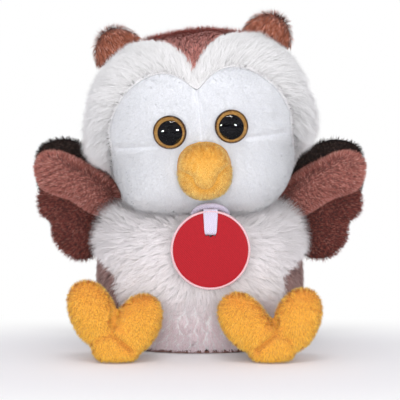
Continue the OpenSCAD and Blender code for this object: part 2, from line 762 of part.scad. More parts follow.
// Edge of the face panel and edge of the dark back panel
function face_edge(phi) = 60 - 22 * max(0, sin(phi)) + 4 * max(0, -sin(phi))
    - 22 * exp(-pow((phi - 90) / 20, 2));

function back_edge(phi) = 105 - 45 * pow(max(0, sin(phi)), 1.5) + 13 * max(0, -sin(phi))
    - 23 * exp(-pow((phi - 90) / 14, 2));

function head_grid(inset, n, rows, from, to) = [
    for (i = [0:rows]) [for (j = [0:n - 1])
        let (phi = 360 * j / n - 90,
             a = from == "face" ? face_edge(phi) + 0.6 : from == "back" ? back_edge(phi) + 0.6 : from,
             b = to == "face" ? face_edge(phi) : to == "back" ? back_edge(phi) : to)
        head_point(phi, a + (b - a) * i / rows, inset)]];

// Places a piece at one eye's seat on the face, its Z axis outwards
module at_eye(side) {
    translate(head_c) rotate([0, -head_tilt, 0]) translate([side * eye_x, -eye_seat_y, -2.6])
        rotate([90, 0, side * eye_yaw]) children();
}

eye_seat_y = head_b * pow(1 - pow(eye_x / head_a, soft_e), 1 / soft_e);
eye_yaw = 9;
stem_r = 2;

module face_panel() {
    color("snow") difference() {
        sheet_solid(head_grid(0, 48, 6, 4, "face"), head_grid(skin_t, 48, 6, 4, "face"), true, true, false);
        for (s = [-1, 1]) at_eye(s) translate([0, 0, -9]) cylinder(r = stem_r + 0.4, h = 18, $fn = 32);
    }
}

module head_ruff() {
    color("white") difference() {
        sheet_solid(head_grid(0, 48, 5, "face", "back"), head_grid(skin_t, 48, 5, "face", "back"), true);
        translate([0, neck_y, head_bottom - 3]) cylinder(r = neck_r + 0.6, h = 8, $fn = 40);
    }
}

module head_back() {
    color("sienna")
        sheet_solid(head_grid(0, 48, 9, "back", 174), head_grid(skin_t, 48, 9, "back", 174), true, false, true);
}

module head_stuffing() {
    color("white") difference() {
        loft(head_grid(skin_t + head_gap, 36, 16, 5, 175));
        translate([0, neck_y, head_bottom]) cylinder(r = neck_r + 0.5, h = post_top + 0.8 - head_bottom, $fn = 40);
        translate([0, neck_y, head_bottom + skin_t + plate_lift])
            cylinder(r = plate_r + soft_gap, h = plate_t + 2 * soft_gap, $fn = 48);
        translate([0, neck_y, head_bottom]) cylinder(r = hub_r + soft_gap, h = skin_t + plate_lift + 1, $fn = 48);
        for (s = [-1, 1]) at_eye(s) translate([0, 0, -7]) cylinder(r = 6, h = 12, $fn = 40);
    }
}

module ear(side) {
    base = [for (i = [0:12]) [ear_w / 2 * cos(180 * i / 12), 14 * sin(180 * i / 12) - 5]];
    skirt = [for (i = [1:4]) [-ear_w / 2 + ear_w * i / 5, -5]];
    translate(head_c) rotate([0, -head_tilt, 0]) translate([side * 33.5, 5, head_cz - 2.3])
        rotate([0, side * 33, 0]) pad(concat(base, skirt), 3.6, 3.6);
}

module ear_in_place(side) {
    difference() {
        ear(side);
        loft(head_grid(-soft_gap, 36, 12, 30, 150));
    }
}

module ear_left() { color("rosybrown") ear_in_place(-1); }
module ear_right() { color("rosybrown") ear_in_place(1); }

// Height of the eye's back above the face
eye_lift = 0.6;

module eye_disc(side) {
    color("goldenrod") at_eye(side) {
        translate([0, 0, eye_lift]) cylinder(r = eye_d / 2, h = 1, $fn = 48);
        translate([0, 0, -6]) cylinder(r = stem_r, h = 6 + eye_lift + eps, $fn = 32);
    }
}

module eye_disc_left() { eye_disc(-1); }
module eye_disc_right() { eye_disc(1); }

module eye_lens(side) {
    r = eye_d / 2;
    h = 3.6;
    sphere_r = (r * r + h * h) / (2 * h);
    color("gold", 0.5) at_eye(side) translate([0, 0, eye_lift + 1]) rotate_extrude($fn = 48)
        intersection() {
            translate([0, h - sphere_r]) circle(r = sphere_r, $fn = 96);
            square([r, h + 1]);
        }
}

module eye_lens_left() { eye_lens(-1); }
module eye_lens_right() { eye_lens(1); }

module eye_washers() {
    color("white") for (s = [-1, 1]) at_eye(s) translate([0, 0, -skin_t - 2.2]) difference() {
        cylinder(r = 5.5, h = 1.2, $fn = 40);
        translate([0, 0, -1]) cylinder(r = stem_r + press_gap, h = 4, $fn = 32);
    }
}

// Rounded cushion on the face, its back following the face at a small gap
module beak_form(c, a, b, h) {
    n = 28;
    difference() {
        translate(head_c) rotate([0, -head_tilt, 0]) translate(c)
            loft([for (i = [0:9]) let (rho = 6 + 168 * i / 9)
                [for (j = [0:n - 1]) let (phi = 360 * j / n, d = ray(phi, rho)) [a * d[0], b * d[1], h * d[2]]]]);
        loft(head_grid(-soft_gap - 0.1, 36, 5, 4, 56));
    }
}

module beak_upper() {
    color("khaki") difference() {
        beak_form([0, -head_b + 1, -19], beak_w / 2, 11.5, 10.5);
        beak_low(soft_gap);
    }
}

// The lower beak, made larger all round by grow
module beak_low(grow) {
    beak_form([0, -head_b + 1, -27.5], beak_w / 2 - 4 + grow, 7.5 + grow, 5.5 + grow);
}

module beak_lower() {
    color("orange") beak_low(0);
}

// ---------------------------------------------------------------- feet

// Outline of a foot seen from the front: two toes and a heel, around the middle of the foot
toe_dir = 42;
heel_r = 13;
function foot_radius(t) = heel_r
    + (toe_len - heel_r) * (exp(-pow((t - toe_dir) / 26, 2)) + exp(-pow((t - 180 + toe_dir) / 26, 2)))
    - 2.5 * exp(-pow((t - 90) / 18, 2)) + 1.2 * exp(-pow((t - 270) / 34, 2));

foot_outline = [for (i = [0:39]) let (t = 360 * i / 40 - 90, u = t < 0 ? t + 360 : t, r = foot_radius(u))
    [r * cos(u), r * sin(u)]];

foot_z = 14.2;
foot_y = torso_y - torso_d / 2 - 13;
leg_r = 7;
leg_z = 10;
foot_x = [-35.5, 30.5];

leg_gap = 0.65;
leg_a = 0.945 * torso_w / 2;
leg_b = 0.945 * torso_d / 2;

// Front of the torso at the height of the legs
function torso_front(x) = leg_b * pow(1 - pow(abs(x) / leg_a, soft_e), 1 / soft_e);

// Unit normal of that front at x
function front_normal(x) = let (y = torso_front(x),
    n = [pow(abs(x) / leg_a, soft_e - 1) / leg_a, pow(y / leg_b, soft_e - 1) / leg_b]) n / norm(n);

// Where the front is nearest to a leg at x, found in a few steps
function leg_foot(x, k = 8) = k == 0 ? abs(x) * 0.9 : abs(x) - (leg_r + leg_gap) * front_normal(leg_foot(x, k - 1))[0];

function leg_y(x) = let (p = leg_foot(x)) torso_y - torso_front(p) - (leg_r + leg_gap) * front_normal(p)[1];

// Foot with its leg; the leg's round end sits by the torso
module foot(x) {
    translate([x, foot_y, foot_z]) pad(foot_outline, foot_t / 2, foot_t / 2);
    translate([x, leg_y(x), leg_z]) sphere(r = leg_r, $fn = 32);
    translate([x, leg_y(x), leg_z]) rotate([90, 0, 0]) cylinder(r = leg_r, h = leg_y(x) - foot_y, $fn = 32);
}

module foot_left() { color("orange") foot(foot_x[0]); }
module foot_right() { color("orange") foot(foot_x[1]); }

// ---------------------------------------------------------------- swing tag

tag_x = 4.5;
tag_z = 47;
tag_y = torso_y - torso_d / 2 - 7.2;
tag_hole_z = tag_z + 6.5;
slot_h = 2.6;
ribbon_w = 5.5;
ribbon_t = 0.5;
ribbon_top_y = torso_y - 0.58 * torso_d / 2;
ribbon_top_z = torso_h - 0.75;

module tag_card() {
    color("crimson") translate([tag_x, tag_y, tag_z]) rotate([90, 0, 0]) difference() {
        cylinder(r = tag_d / 2, h = tag_t, center = true, $fn = 96);
        translate([-ribbon_w / 2 - 0.3, tag_hole_z - slot_h / 2 - tag_z, -2]) cube([ribbon_w + 0.6, slot_h, 4]);
    }
}

// Ribbon from the neck seam over the card's top edge and down its front into the slot
module tag_ribbon() {
    front = tag_y - tag_t / 2 - 0.35;
    over = tag_z + tag_d / 2 + 0.5;
    inner = [[tag_y + tag_t / 2, tag_hole_z - ribbon_t / 2], [front, tag_hole_z - ribbon_t / 2],
             [front, over], [ribbon_top_y, ribbon_top_z]];
    outer = [[ribbon_top_y, ribbon_top_z + ribbon_t], [front - ribbon_t, over + ribbon_t],
             [front - ribbon_t, tag_hole_z - 1.5 * ribbon_t], [tag_y + tag_t / 2, tag_hole_z - 1.5 * ribbon_t]];
    color("white") translate([tag_x - ribbon_w / 2, 0, 0]) rotate([90, 0, 90]) linear_extrude(ribbon_w)
        polygon(concat(inner, outer));
}

// ---------------------------------------------------------------- assembly

belly_plush();
back_plush();
seat_fabric();
torso_stuffing();
case_lower();
case_upper();
case_screws();
gear_deck();
wing_motor();
head_motor();
batteries();
battery_contacts();
circuit_board();
speaker_frame();
speaker_cone();
gear_pins();
press_switch();
press_pad();
power_switch();
power_slider();
battery_door();
door_screw();
wing_shaft_left();
wing_shaft_right();
wing_arm_left();
wing_arm_right();
wing_back_left();
wing_back_right();
wing_upper_left();
wing_upper_right();
wing_lower_left();
wing_lower_right();
idler_gear_left();
idler_gear_right();
reduction_gear();
wing_pinion();
head_pinion();
neck_shaft();
head_gear();
neck_plate();
head_stuffing();
head_ruff();
face_panel();
head_back();
ear_left();
ear_right();
eye_disc_left();
eye_disc_right();
eye_lens_left();
eye_lens_right();
eye_washers();
beak_upper();
beak_lower();
foot_left();
foot_right();
tag_card();
tag_ribbon();
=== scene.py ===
"""Looks of a sitting plush owl with a small sound and motion module in its body."""
import math

import bmesh
import bpy
import numpy as np
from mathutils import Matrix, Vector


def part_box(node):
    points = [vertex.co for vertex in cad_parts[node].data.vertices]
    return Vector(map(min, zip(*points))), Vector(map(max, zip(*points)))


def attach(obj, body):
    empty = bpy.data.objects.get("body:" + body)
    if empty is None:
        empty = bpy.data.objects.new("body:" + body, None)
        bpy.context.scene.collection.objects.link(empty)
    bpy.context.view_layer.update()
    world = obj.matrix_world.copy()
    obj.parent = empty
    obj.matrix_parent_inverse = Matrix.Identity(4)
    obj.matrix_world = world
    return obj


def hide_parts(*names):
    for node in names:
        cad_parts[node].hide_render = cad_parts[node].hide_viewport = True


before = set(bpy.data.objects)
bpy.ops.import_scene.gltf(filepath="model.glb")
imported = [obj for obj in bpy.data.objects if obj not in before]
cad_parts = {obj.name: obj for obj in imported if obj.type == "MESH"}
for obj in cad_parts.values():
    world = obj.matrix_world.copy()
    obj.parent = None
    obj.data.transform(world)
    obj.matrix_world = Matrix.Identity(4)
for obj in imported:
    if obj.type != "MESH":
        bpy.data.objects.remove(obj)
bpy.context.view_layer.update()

# ------------------------------------------------------------------ studio
# A pale seamless table under soft light. A long soft box hangs above and in front, a wide one
# fills from the front, and two round lamps at the sides make only highlights.

camera_data = bpy.data.cameras.new("camera")
camera_data.lens = 140
camera_data.sensor_width = 36
camera_data.clip_start = 0.01
camera_data.clip_end = 20
camera = bpy.data.objects.new("camera", camera_data)
bpy.context.scene.collection.objects.link(camera)
camera_back, camera_up, aim_up = 0.7, 0.120, 0.0653
camera.location = (0, -camera_back, camera_up)
camera.rotation_euler = (math.radians(90) - math.atan2(camera_up - aim_up, camera_back), 0, 0)
bpy.context.scene.camera = camera
bpy.context.scene.view_settings.view_transform = "Standard"


def node(tree, kind, inputs=None, **settings):
    """Adds a shader node: its settings first, then its inputs, as links or as values."""
    made = tree.nodes.new(kind)
    for key, value in settings.items():
        setattr(made, key, value)
    for key, value in (inputs or {}).items():
        if isinstance(value, bpy.types.NodeSocket):
            tree.links.new(value, made.inputs[key])
        else:
            made.inputs[key].default_value = value
    return made


def lamp(name, place, aim, size, watts, shape="RECTANGLE"):
    """An area lamp that looks from its place to its aim, in metres."""
    data = bpy.data.lights.new(name, "AREA")
    data.shape = shape
    data.size, data.size_y = size
    data.energy = watts
    ob = bpy.data.objects.new(name, data)
    bpy.context.scene.collection.objects.link(ob)
    ob.location = place
    back = np.array(place, float) - np.array(aim, float)
    flat = math.hypot(back[0], back[1])
    ob.rotation_euler = (math.atan2(flat, back[2]), 0, math.atan2(back[0], -back[1]))
    return ob


lamp("strip_box", (0.0, -0.36, 0.62), (0, 0, 0.09), (0.30, 0.07), 0.75)
for name, place in (("left_round", (-0.50, -0.48, 0.19)), ("right_round", (0.37, -0.60, 0.21))):
    round_lamp = lamp(name, place, (0, 0, 0.09), (0.11, 0.11), 2.6, "DISK")
    round_lamp.visible_diffuse = False
    round_lamp.visible_transmission = False
fill_box = lamp("fill_box", (0.0, -1.0, 0.17), (0, 0, 0.06), (0.9, 0.3), 5.6)
fill_box.visible_glossy = False
fill_box.visible_transmission = False


def glossy_or_clear(tree, seen):
    """1 for the rays that leave a glossy or a clear surface, 0 for all others."""
    return node(tree, "ShaderNodeMath", {0: seen.outputs["Is Glossy Ray"],
                1: seen.outputs["Is Transmission Ray"]}, operation="MAXIMUM")


world = bpy.data.worlds.new("room")
bpy.context.scene.world = world
world.use_nodes = True
tree = world.node_tree
tree.nodes.clear()
seen = node(tree, "ShaderNodeLightPath")
mirrored = glossy_or_clear(tree, seen)
level = node(tree, "ShaderNodeMapRange", {"Value": mirrored.outputs[0], 3: 0.76, 4: 0.015})
light = node(tree, "ShaderNodeBackground", {"Color": (0.975, 0.98, 1, 1), "Strength": level.outputs[0]})
paper = node(tree, "ShaderNodeBackground", {"Color": (1, 1, 1, 1), "Strength": 1.0})
mixed = node(tree, "ShaderNodeMixShader", {0: seen.outputs["Is Camera Ray"], 1: light.outputs[0],
             2: paper.outputs[0]})
node(tree, "ShaderNodeOutputWorld", {"Surface": mixed.outputs[0]})

floor_mesh = bpy.data.meshes.new("floor")
floor_mesh.from_pydata([(-4, -1.2, 0), (4, -1.2, 0), (4, 6, 0), (-4, 6, 0)], [], [(0, 1, 2, 3)])
floor = bpy.data.objects.new("floor", floor_mesh)
bpy.context.scene.collection.objects.link(floor)


def bare_material(name):
    """A new material and its node tree, emptied."""
    made = bpy.data.materials.new(name)
    made.use_nodes = True
    made.node_tree.nodes.clear()
    return made, made.node_tree


# Away from the owl the table fades into the white behind it, to the camera only.
table_top, tree = bare_material("table_top")
place = node(tree, "ShaderNodeTexCoord")
drawn = node(tree, "ShaderNodeVectorMath", {0: place.outputs["Object"], 1: (0.8, 2.1, 1), 2: (0, 0.10, 0)},
             operation="MULTIPLY_ADD")
far = node(tree, "ShaderNodeVectorMath", {0: drawn.outputs[0]}, operation="LENGTH")
fade = node(tree, "ShaderNodeMapRange", {"Value": far.outputs["Value"], 1: 0.10, 2: 0.27},
            interpolation_type="SMOOTHSTEP")
seen = node(tree, "ShaderNodeLightPath")
share = node(tree, "ShaderNodeMath", {0: seen.outputs["Is Camera Ray"], 1: fade.outputs[0]},
             operation="MULTIPLY")
matt = node(tree, "ShaderNodeBsdfDiffuse", {"Color": (0.87, 0.86, 0.885, 1)})
lift = node(tree, "ShaderNodeEmission", {"Color": (1, 1, 1, 1), "Strength": 0.05})
near = node(tree, "ShaderNodeAddShader", {0: matt.outputs[0], 1: lift.outputs[0]})
mirrored = glossy_or_clear(tree, seen)
dim = node(tree, "ShaderNodeMath", {0: mirrored.outputs[0], 1: 0.75}, operation="MULTIPLY")
dark = node(tree, "ShaderNodeEmission", {"Color": (0.02, 0.02, 0.025, 1), "Strength": 1.0})
near = node(tree, "ShaderNodeMixShader", {0: dim.outputs[0], 1: near.outputs[0], 2: dark.outputs[0]})
white = node(tree, "ShaderNodeEmission", {"Color": (1, 1, 1, 1), "Strength": 1.0})
mixed = node(tree, "ShaderNodeMixShader", {0: share.outputs[0], 1: near.outputs[0], 2: white.outputs[0]})
node(tree, "ShaderNodeOutputMaterial", {"Surface": mixed.outputs[0]})
floor_mesh.materials.append(table_top)

# ------------------------------------------------------------------ module in the body
# Two moulded ABS shells hold the gears, two small motors, the speaker, the circuit board and
# the two cells; a screwed door closes the bay from below. Metal parts are plain turned steel
# and stamped nickelled brass.


def shader_group(name, inputs, outputs):
    """A node group with these named sockets, and its two end nodes."""
    tree = bpy.data.node_groups.new(name, "ShaderNodeTree")
    for label, kind, value in inputs:
        tree.interface.new_socket(name=label, in_out="INPUT", socket_type=kind).default_value = value
    for label, kind in outputs:
        tree.interface.new_socket(name=label, in_out="OUTPUT", socket_type=kind)
    return tree, tree.nodes.new("NodeGroupInput"), tree.nodes.new("NodeGroupOutput")


COLOUR, NUMBER = "NodeSocketColor", "NodeSocketFloat"

moulded_grain, take, give = shader_group(
    "moulded_grain",
    [("Colour", COLOUR, (0.8, 0.8, 0.8, 1)), ("Grain Size", NUMBER, 900.0), ("Flow Size", NUMBER, 60.0),
     ("Roughness", NUMBER, 0.45), ("Mottle", NUMBER, 0.06)],
    [("Colour", COLOUR), ("Roughness", NUMBER), ("Height", NUMBER)])
place = node(moulded_grain, "ShaderNodeTexCoord")
grain = node(moulded_grain, "ShaderNodeTexNoise", {"Vector": place.outputs["Object"],
             "Scale": take.outputs["Grain Size"], "Detail": 3.0})
flow = node(moulded_grain, "ShaderNodeTexNoise", {"Vector": place.outputs["Object"],
            "Scale": take.outputs["Flow Size"], "Detail": 2.0})
shift = node(moulded_grain, "ShaderNodeMapRange", {"Value": flow.outputs["Fac"], 3: -1.0, 4: 1.0})
shade = node(moulded_grain, "ShaderNodeMath", {0: shift.outputs[0], 1: take.outputs["Mottle"], 2: 1.0},
             operation="MULTIPLY_ADD")
toned = node(moulded_grain, "ShaderNodeVectorMath", {0: take.outputs["Colour"], 1: shade.outputs[0]},
             operation="MULTIPLY")
rough = node(moulded_grain, "ShaderNodeMath", {0: grain.outputs["Fac"], 1: 0.16,
             2: take.outputs["Roughness"]}, operation="MULTIPLY_ADD")
moulded_grain.links.new(toned.outputs[0], give.inputs["Colour"])
moulded_grain.links.new(rough.outputs[0], give.inputs["Roughness"])
moulded_grain.links.new(grain.outputs["Fac"], give.inputs["Height"])


def moulded(name, colour, roughness=0.4, metallic=0.0, grain=900.0, flow=60.0, mottle=0.06, bump=0.08,
            coat=0.0):
    """Material of a hard piece: its own shader over the shared grain, which adds 0.08 on average."""
    made, tree = bare_material(name)
    group = node(tree, "ShaderNodeGroup", {
        "Colour": (*colour, 1), "Grain Size": grain, "Flow Size": flow, "Roughness": roughness - 0.08,
        "Mottle": mottle}, node_tree=moulded_grain)
    relief = node(tree, "ShaderNodeBump", {"Height": group.outputs["Height"], "Strength": bump,
                  "Distance": 0.0002})
    shader = node(tree, "ShaderNodeBsdfPrincipled", {
        "Base Color": group.outputs["Colour"], "Roughness": group.outputs["Roughness"],
        "Metallic": metallic, "Coat Weight": coat, "Normal": relief.outputs[0]})
    node(tree, "ShaderNodeOutputMaterial", {"Surface": shader.outputs[0]})
    return made


def paint(material, *nodes):
    """Gives carried-over CAD nodes their material."""
    for name in nodes:
        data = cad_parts[name].data
        data.materials.clear()
        data.materials.append(material)


paint(moulded("case_plastic", (0.78, 0.78, 0.76)), "case_lower", "case_upper", "battery_door", "neck_plate",
      "wing_arm_left", "wing_arm_right", "eye_washers", "press_pad")
paint(moulded("dark_plastic", (0.03, 0.03, 0.035), 0.5), "gear_deck", "power_switch", "power_slider",
      "press_switch", "speaker_frame")
paint(moulded("gear_plastic", (0.86, 0.83, 0.72), 0.35, mottle=0.03), "wing_shaft_left", "wing_shaft_right",
      "idler_gear_left", "idler_gear_right", "reduction_gear", "head_gear")
paint(moulded("turned_steel", (0.55, 0.56, 0.58), 0.28, 1.0, grain=2600.0, bump=0.12), "wing_motor",
      "head_motor", "gear_pins", "case_screws", "door_screw", "neck_shaft")
paint(moulded("nickelled_brass", (0.72, 0.58, 0.32), 0.3, 1.0, grain=2200.0, bump=0.12), "battery_contacts",
      "wing_pinion", "head_pinion")
paint(moulded("cell_wrap", (0.05, 0.09, 0.20), 0.3, coat=0.6, mottle=0.12), "batteries")
paint(moulded("board_green", (0.01, 0.12, 0.05), 0.35, coat=0.4, mottle=0.2, flow=400.0), "circuit_board")
paint(moulded("cone_paper", (0.04, 0.04, 0.04), 0.8, grain=3000.0, bump=0.5), "speaker_cone")

# ------------------------------------------------------------------ stuffing
# Polyester fibrefill, packed round the module and into the head. It is lumpy and slightly
# crushed, so its surface waves a little inside the fabric.

MM = 0.001


def waves(points, length, seed, count=6):
    """Smooth seeded waves of about this length over points in mm, three values each, from -1 to 1."""
    rng = np.random.default_rng(seed)
    total = np.zeros_like(points)
    for _ in range(count):
        way = rng.normal(size=3)
        way *= 2 * math.pi / length / np.linalg.norm(way) * rng.uniform(0.7, 1.4)
        total += np.sin((points @ way)[:, None] + rng.uniform(0, 6.28, 3)) * rng.uniform(0.5, 1.0, 3)
    return total / count * 1.6


def coordinates(mesh):
    """A mesh's points in mm."""
    out = np.empty(len(mesh.vertices) * 3, np.float32)
    mesh.vertices.foreach_get("co", out)
    return out.reshape(-1, 3).astype(float) / MM


def directions(mesh):
    """The outward direction at each point of a mesh."""
    out = np.empty(len(mesh.vertices) * 3, np.float32)
    mesh.vertex_normals.foreach_get("vector", out)
    return out.reshape(-1, 3).astype(float)


def settle(mesh, points):
    """Moves a mesh's points to these, in mm."""
    mesh.vertices.foreach_set("co", (points * MM).astype(np.float32).ravel())
    mesh.update()


def link(name, mesh, body):
    """A new piece that rides on a body."""
    ob = bpy.data.objects.new(name, mesh)
    bpy.context.scene.collection.objects.link(ob)
    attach(ob, body)
    return ob


def apply_modifiers(ob):
    """Keeps the mesh as its modifiers leave it."""
    graph = bpy.context.evaluated_depsgraph_get()
    made = bpy.data.meshes.new_from_object(ob.evaluated_get(graph))
    old = ob.data
    ob.modifiers.clear()
    ob.data = made
    bpy.data.meshes.remove(old)
    ob.data.polygons.foreach_set("use_smooth", np.ones(len(ob.data.polygons), bool))


knit, take, give = shader_group(
    "knit_back",
    [("Colour", COLOUR, (0.9, 0.9, 0.9, 1)), ("Deep Colour", COLOUR, (0.6, 0.6, 0.6, 1)),
     ("Stitch Size", NUMBER, 1400.0), ("Patch Size", NUMBER, 90.0)],
    [("Colour", COLOUR), ("Height", NUMBER)])
place = node(knit, "ShaderNodeTexCoord")
stitch = node(knit, "ShaderNodeTexVoronoi", {"Vector": place.outputs["Object"],
              "Scale": take.outputs["Stitch Size"]})
patch = node(knit, "ShaderNodeTexNoise", {"Vector": place.outputs["Object"],
             "Scale": take.outputs["Patch Size"], "Detail": 4.0})
depth = node(knit, "ShaderNodeMath", {0: stitch.outputs["Distance"], 1: patch.outputs["Fac"]},
             operation="MULTIPLY")
depth = node(knit, "ShaderNodeMapRange", {"Value": depth.outputs[0], 1: 0.0, 2: 0.45})
toned = node(knit, "ShaderNodeMix", {"Factor": depth.outputs[0]}, data_type="RGBA")
knit.links.new(take.outputs["Colour"], toned.inputs[6])
knit.links.new(take.outputs["Deep Colour"], toned.inputs[7])
knit.links.new(toned.outputs[2], give.inputs["Colour"])
knit.links.new(stitch.outputs["Distance"], give.inputs["Height"])


def backing(name, colour, deep, stitch=1400.0, patch=90.0, bump=0.35, sheen=0.15):
    """Fabric under the pile, or fibrefill: a soft matt surface."""
    made, tree = bare_material(name)
    group = node(tree, "ShaderNodeGroup", {
        "Colour": (*colour, 1), "Deep Colour": (*deep, 1), "Stitch Size": stitch, "Patch Size": patch},
        node_tree=knit)
    relief = node(tree, "ShaderNodeBump", {"Height": group.outputs["Height"], "Strength": bump,
                  "Distance": 0.0003})
    shader = node(tree, "ShaderNodeBsdfPrincipled", {
        "Base Color": group.outputs["Colour"], "Roughness": 0.9, "Sheen Weight": sheen,
        "Normal": relief.outputs[0]})
    node(tree, "ShaderNodeOutputMaterial", {"Surface": shader.outputs[0]})
    return made


fibrefill = backing("fibrefill", (0.86, 0.86, 0.88), (0.62, 0.62, 0.66), stitch=500.0, bump=0.6)


def stuff(name, cad, body):
    """Lumpy fibrefill with the outline of its CAD solid, a little inside it."""
    ob = link(name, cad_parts[cad].data.copy(), body)
    ob.data.materials.clear()
    grid = ob.modifiers.new("grid", "REMESH")
    grid.mode = "VOXEL"
    grid.voxel_size = 0.0014
    relax = ob.modifiers.new("relax", "SMOOTH")
    relax.iterations = 6
    apply_modifiers(ob)
    points = coordinates(ob.data)
    lumps = waves(points, 14, 3)[:, 0] * 0.35 + waves(points, 4, 4)[:, 0] * 0.2 - 0.5
    settle(ob.data, points + directions(ob.data) * lumps[:, None])
    ob.data.materials.append(fibrefill)
    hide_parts(cad)
    return ob


stuff("body_filling", "torso_stuffing", "torso")

# ------------------------------------------------------------------ body
# Three plush panels close the body: a white belly, a brown back and side panel sewn to it at
# both flanks, and a flat brown seat. The belly's pile is long and brushed outwards over the
# brown beside it; low on the belly it is clipped short.

low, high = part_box("back_plush")
body_w = (high.x - low.x) / MM
body_top = high.z / MM
body_y = 6.0
body_d = 2 * (high.y / MM - body_y)
body_blunt = 2.3


def belly_edge(z):
    """Half the angle the belly panel spans at this height: it widens towards the shoulders."""
    t = np.clip((z - 33) / 14, 0, 1)
    return 50 + 36 * t * t * (3 - 2 * t)


body_rings = np.array([
    [0.84, 0.85, 1.5], [0.9, 0.91, 5], [0.96, 0.97, 12], [1, 1, 24], [1, 1, 35],
    [0.965, 0.96, body_top - 17.5], [0.88, 0.87, body_top - 9], [0.78, 0.77, body_top - 4.5],
    [0.62, 0.62, body_top - 1.5], [0.42, 0.42, body_top - 0.2], [0.2, 0.23, body_top]])


def spline(a, b, c, d, t):
    """A smooth line from b, at t = 0, to c, at t = 1, whose neighbours are a and d."""
    return 0.5 * (2 * b + (c - a) * t + (2 * a - 5 * b + 4 * c - d) * t ** 2
                  + (3 * b - a - 3 * c + d) * t ** 3)


def smooth_rows(rows, count):
    """More rows on a smooth line through these rows."""
    at = np.linspace(0, len(rows) - 1, count)
    i = np.clip(at.astype(int), 0, len(rows) - 2)
    t = (at - i)[:, None]
    padded_rows = np.vstack([2 * rows[:1] - rows[1:2], rows, 2 * rows[-1:] - rows[-2:-1]])
    return spline(*(padded_rows[i + k] for k in range(4)), t)


def power(value, exponent):
    """Power of a value's size, with the value's sign."""
    return np.sign(value) * np.abs(value) ** exponent


def panel(name, points, body, material, around=False, pole_first=False, pole_last=False):
    """A sewn panel through a grid of points in mm. around joins its sides, a pole closes an end."""
    rows, columns = points.shape[:2]
    index = np.arange(rows * columns).reshape(rows, columns)
    right = np.roll(index, -1, axis=1) if around else index[:, 1:]
    left = index if around else index[:, :-1]
    faces = np.stack([left[:-1], right[:-1], right[1:], left[1:]], -1).reshape(-1, 4).tolist()
    points = points.reshape(-1, 3)
    if pole_first:
        points = np.vstack([points, points[index[0]].mean(0)])
        faces += [[len(points) - 1, int(b), int(a)] for a, b in zip(left[0], right[0])]
    if pole_last:
        points = np.vstack([points, points[index[-1]].mean(0)])
        faces += [[len(points) - 1, int(a), int(b)] for a, b in zip(left[-1], right[-1])]
    mesh = bpy.data.meshes.new(name)
    mesh.from_pydata((points * MM).tolist(), [], faces)
    mesh.update()
    outward = ((points - points.mean(0)) * directions(mesh)).sum(1).mean()
    if outward < -0.5:
        mesh.flip_normals()
        mesh.update()
    mesh.polygons.foreach_set("use_smooth", np.ones(len(mesh.polygons), bool))
    mesh.materials.append(material)
    return link(name, mesh, body)


def line_depth(points, start, end, width):
    """1 on the seam from start to end, falling to 0 a few widths away; X and Z in mm."""
    a, b = np.array(start, float), np.array(end, float)
    q = points[:, [0, 2]]
    t = np.clip(((q - a) @ (b - a)) / ((b - a) @ (b - a)), 0, 1)
    away = np.linalg.norm(q - a - t[:, None] * (b - a), axis=1)
    return np.exp(-(away / width) ** 2)


def body_points(start, end, columns, rows=54):
    """Grid over the body between two angles of each height, from straight ahead towards its left."""
    rings = smooth_rows(body_rings, rows)
    share = np.linspace(0, 1, columns)
    z = rings[:, 2:]
    degrees = start(z) * (1 - share) + end(z) * share
    angle = np.radians(degrees - 90)
    x = rings[:, :1] * body_w / 2 * power(np.cos(angle), 2 / body_blunt)
    y = body_y + rings[:, 1:2] * body_d / 2 * power(np.sin(angle), 2 / body_blunt)
    points = np.stack([x, y, np.repeat(z, columns, axis=1)], -1)
    # The two side edges are drawn in, as their seams do, and the filling lies in soft lumps.
    near = np.minimum(degrees - start(z), end(z) - degrees) * math.pi / 180 * 42
    pull = 0.9 * np.exp(-(near / 3.0) ** 2)
    out = points - np.array([0, body_y, 30])
    out[..., 2] *= 0.3
    out /= np.linalg.norm(out, axis=-1, keepdims=True)
    lumps = waves(points.reshape(-1, 3), 26, 11)[:, 0].reshape(pull.shape) * 0.45
    top = np.clip((z - body_top + 8) / 8, 0, 1)
    return points + out * (lumps * (1 - top) - 0.25 - pull)[..., None]


# Each strand is darker towards its root: painted shade, as deep in a pile. Its tip takes the tip colour.
fibre, take, give = shader_group(
    "pile_fibre",
    [("Shaded Root Colour", COLOUR, (0.6, 0.6, 0.6, 1)), ("Tip Colour", COLOUR, (0.9, 0.9, 0.9, 1)),
     ("Stray Colour", COLOUR, (0.9, 0.9, 0.9, 1)), ("Stray Share", NUMBER, 0.1),
     ("Patch Size", NUMBER, 120.0), ("Patch Depth", NUMBER, 0.1), ("Fibre Spread", NUMBER, 0.1)],
    [("Colour", COLOUR)])
strand = node(fibre, "ShaderNodeUVMap", uv_map="strand")
part = node(fibre, "ShaderNodeSeparateXYZ", {0: strand.outputs[0]})
place = node(fibre, "ShaderNodeTexCoord")
patch = node(fibre, "ShaderNodeTexNoise", {"Vector": place.outputs["Object"],
             "Scale": take.outputs["Patch Size"], "Detail": 2.0})
# The root colour is painted shade deep in the pile; it fades to the tip colour along each strand.
along = node(fibre, "ShaderNodeMapRange", {"Value": part.outputs["Y"], 1: 0.0, 2: 1.0},
             interpolation_type="SMOOTHSTEP")
root_shade_to_tip = node(fibre, "ShaderNodeMix", {"Factor": along.outputs[0]}, data_type="RGBA")
fibre.links.new(take.outputs["Shaded Root Colour"], root_shade_to_tip.inputs[6])
fibre.links.new(take.outputs["Tip Colour"], root_shade_to_tip.inputs[7])
is_stray = node(fibre, "ShaderNodeMath", {0: part.outputs["X"], 1: take.outputs["Stray Share"]},
                operation="LESS_THAN")
is_stray = node(fibre, "ShaderNodeMath", {0: is_stray.outputs[0], 1: along.outputs[0]},
                operation="MULTIPLY")
with_stray = node(fibre, "ShaderNodeMix", {"Factor": is_stray.outputs[0]}, data_type="RGBA")
fibre.links.new(root_shade_to_tip.outputs[2], with_stray.inputs[6])
fibre.links.new(take.outputs["Stray Colour"], with_stray.inputs[7])
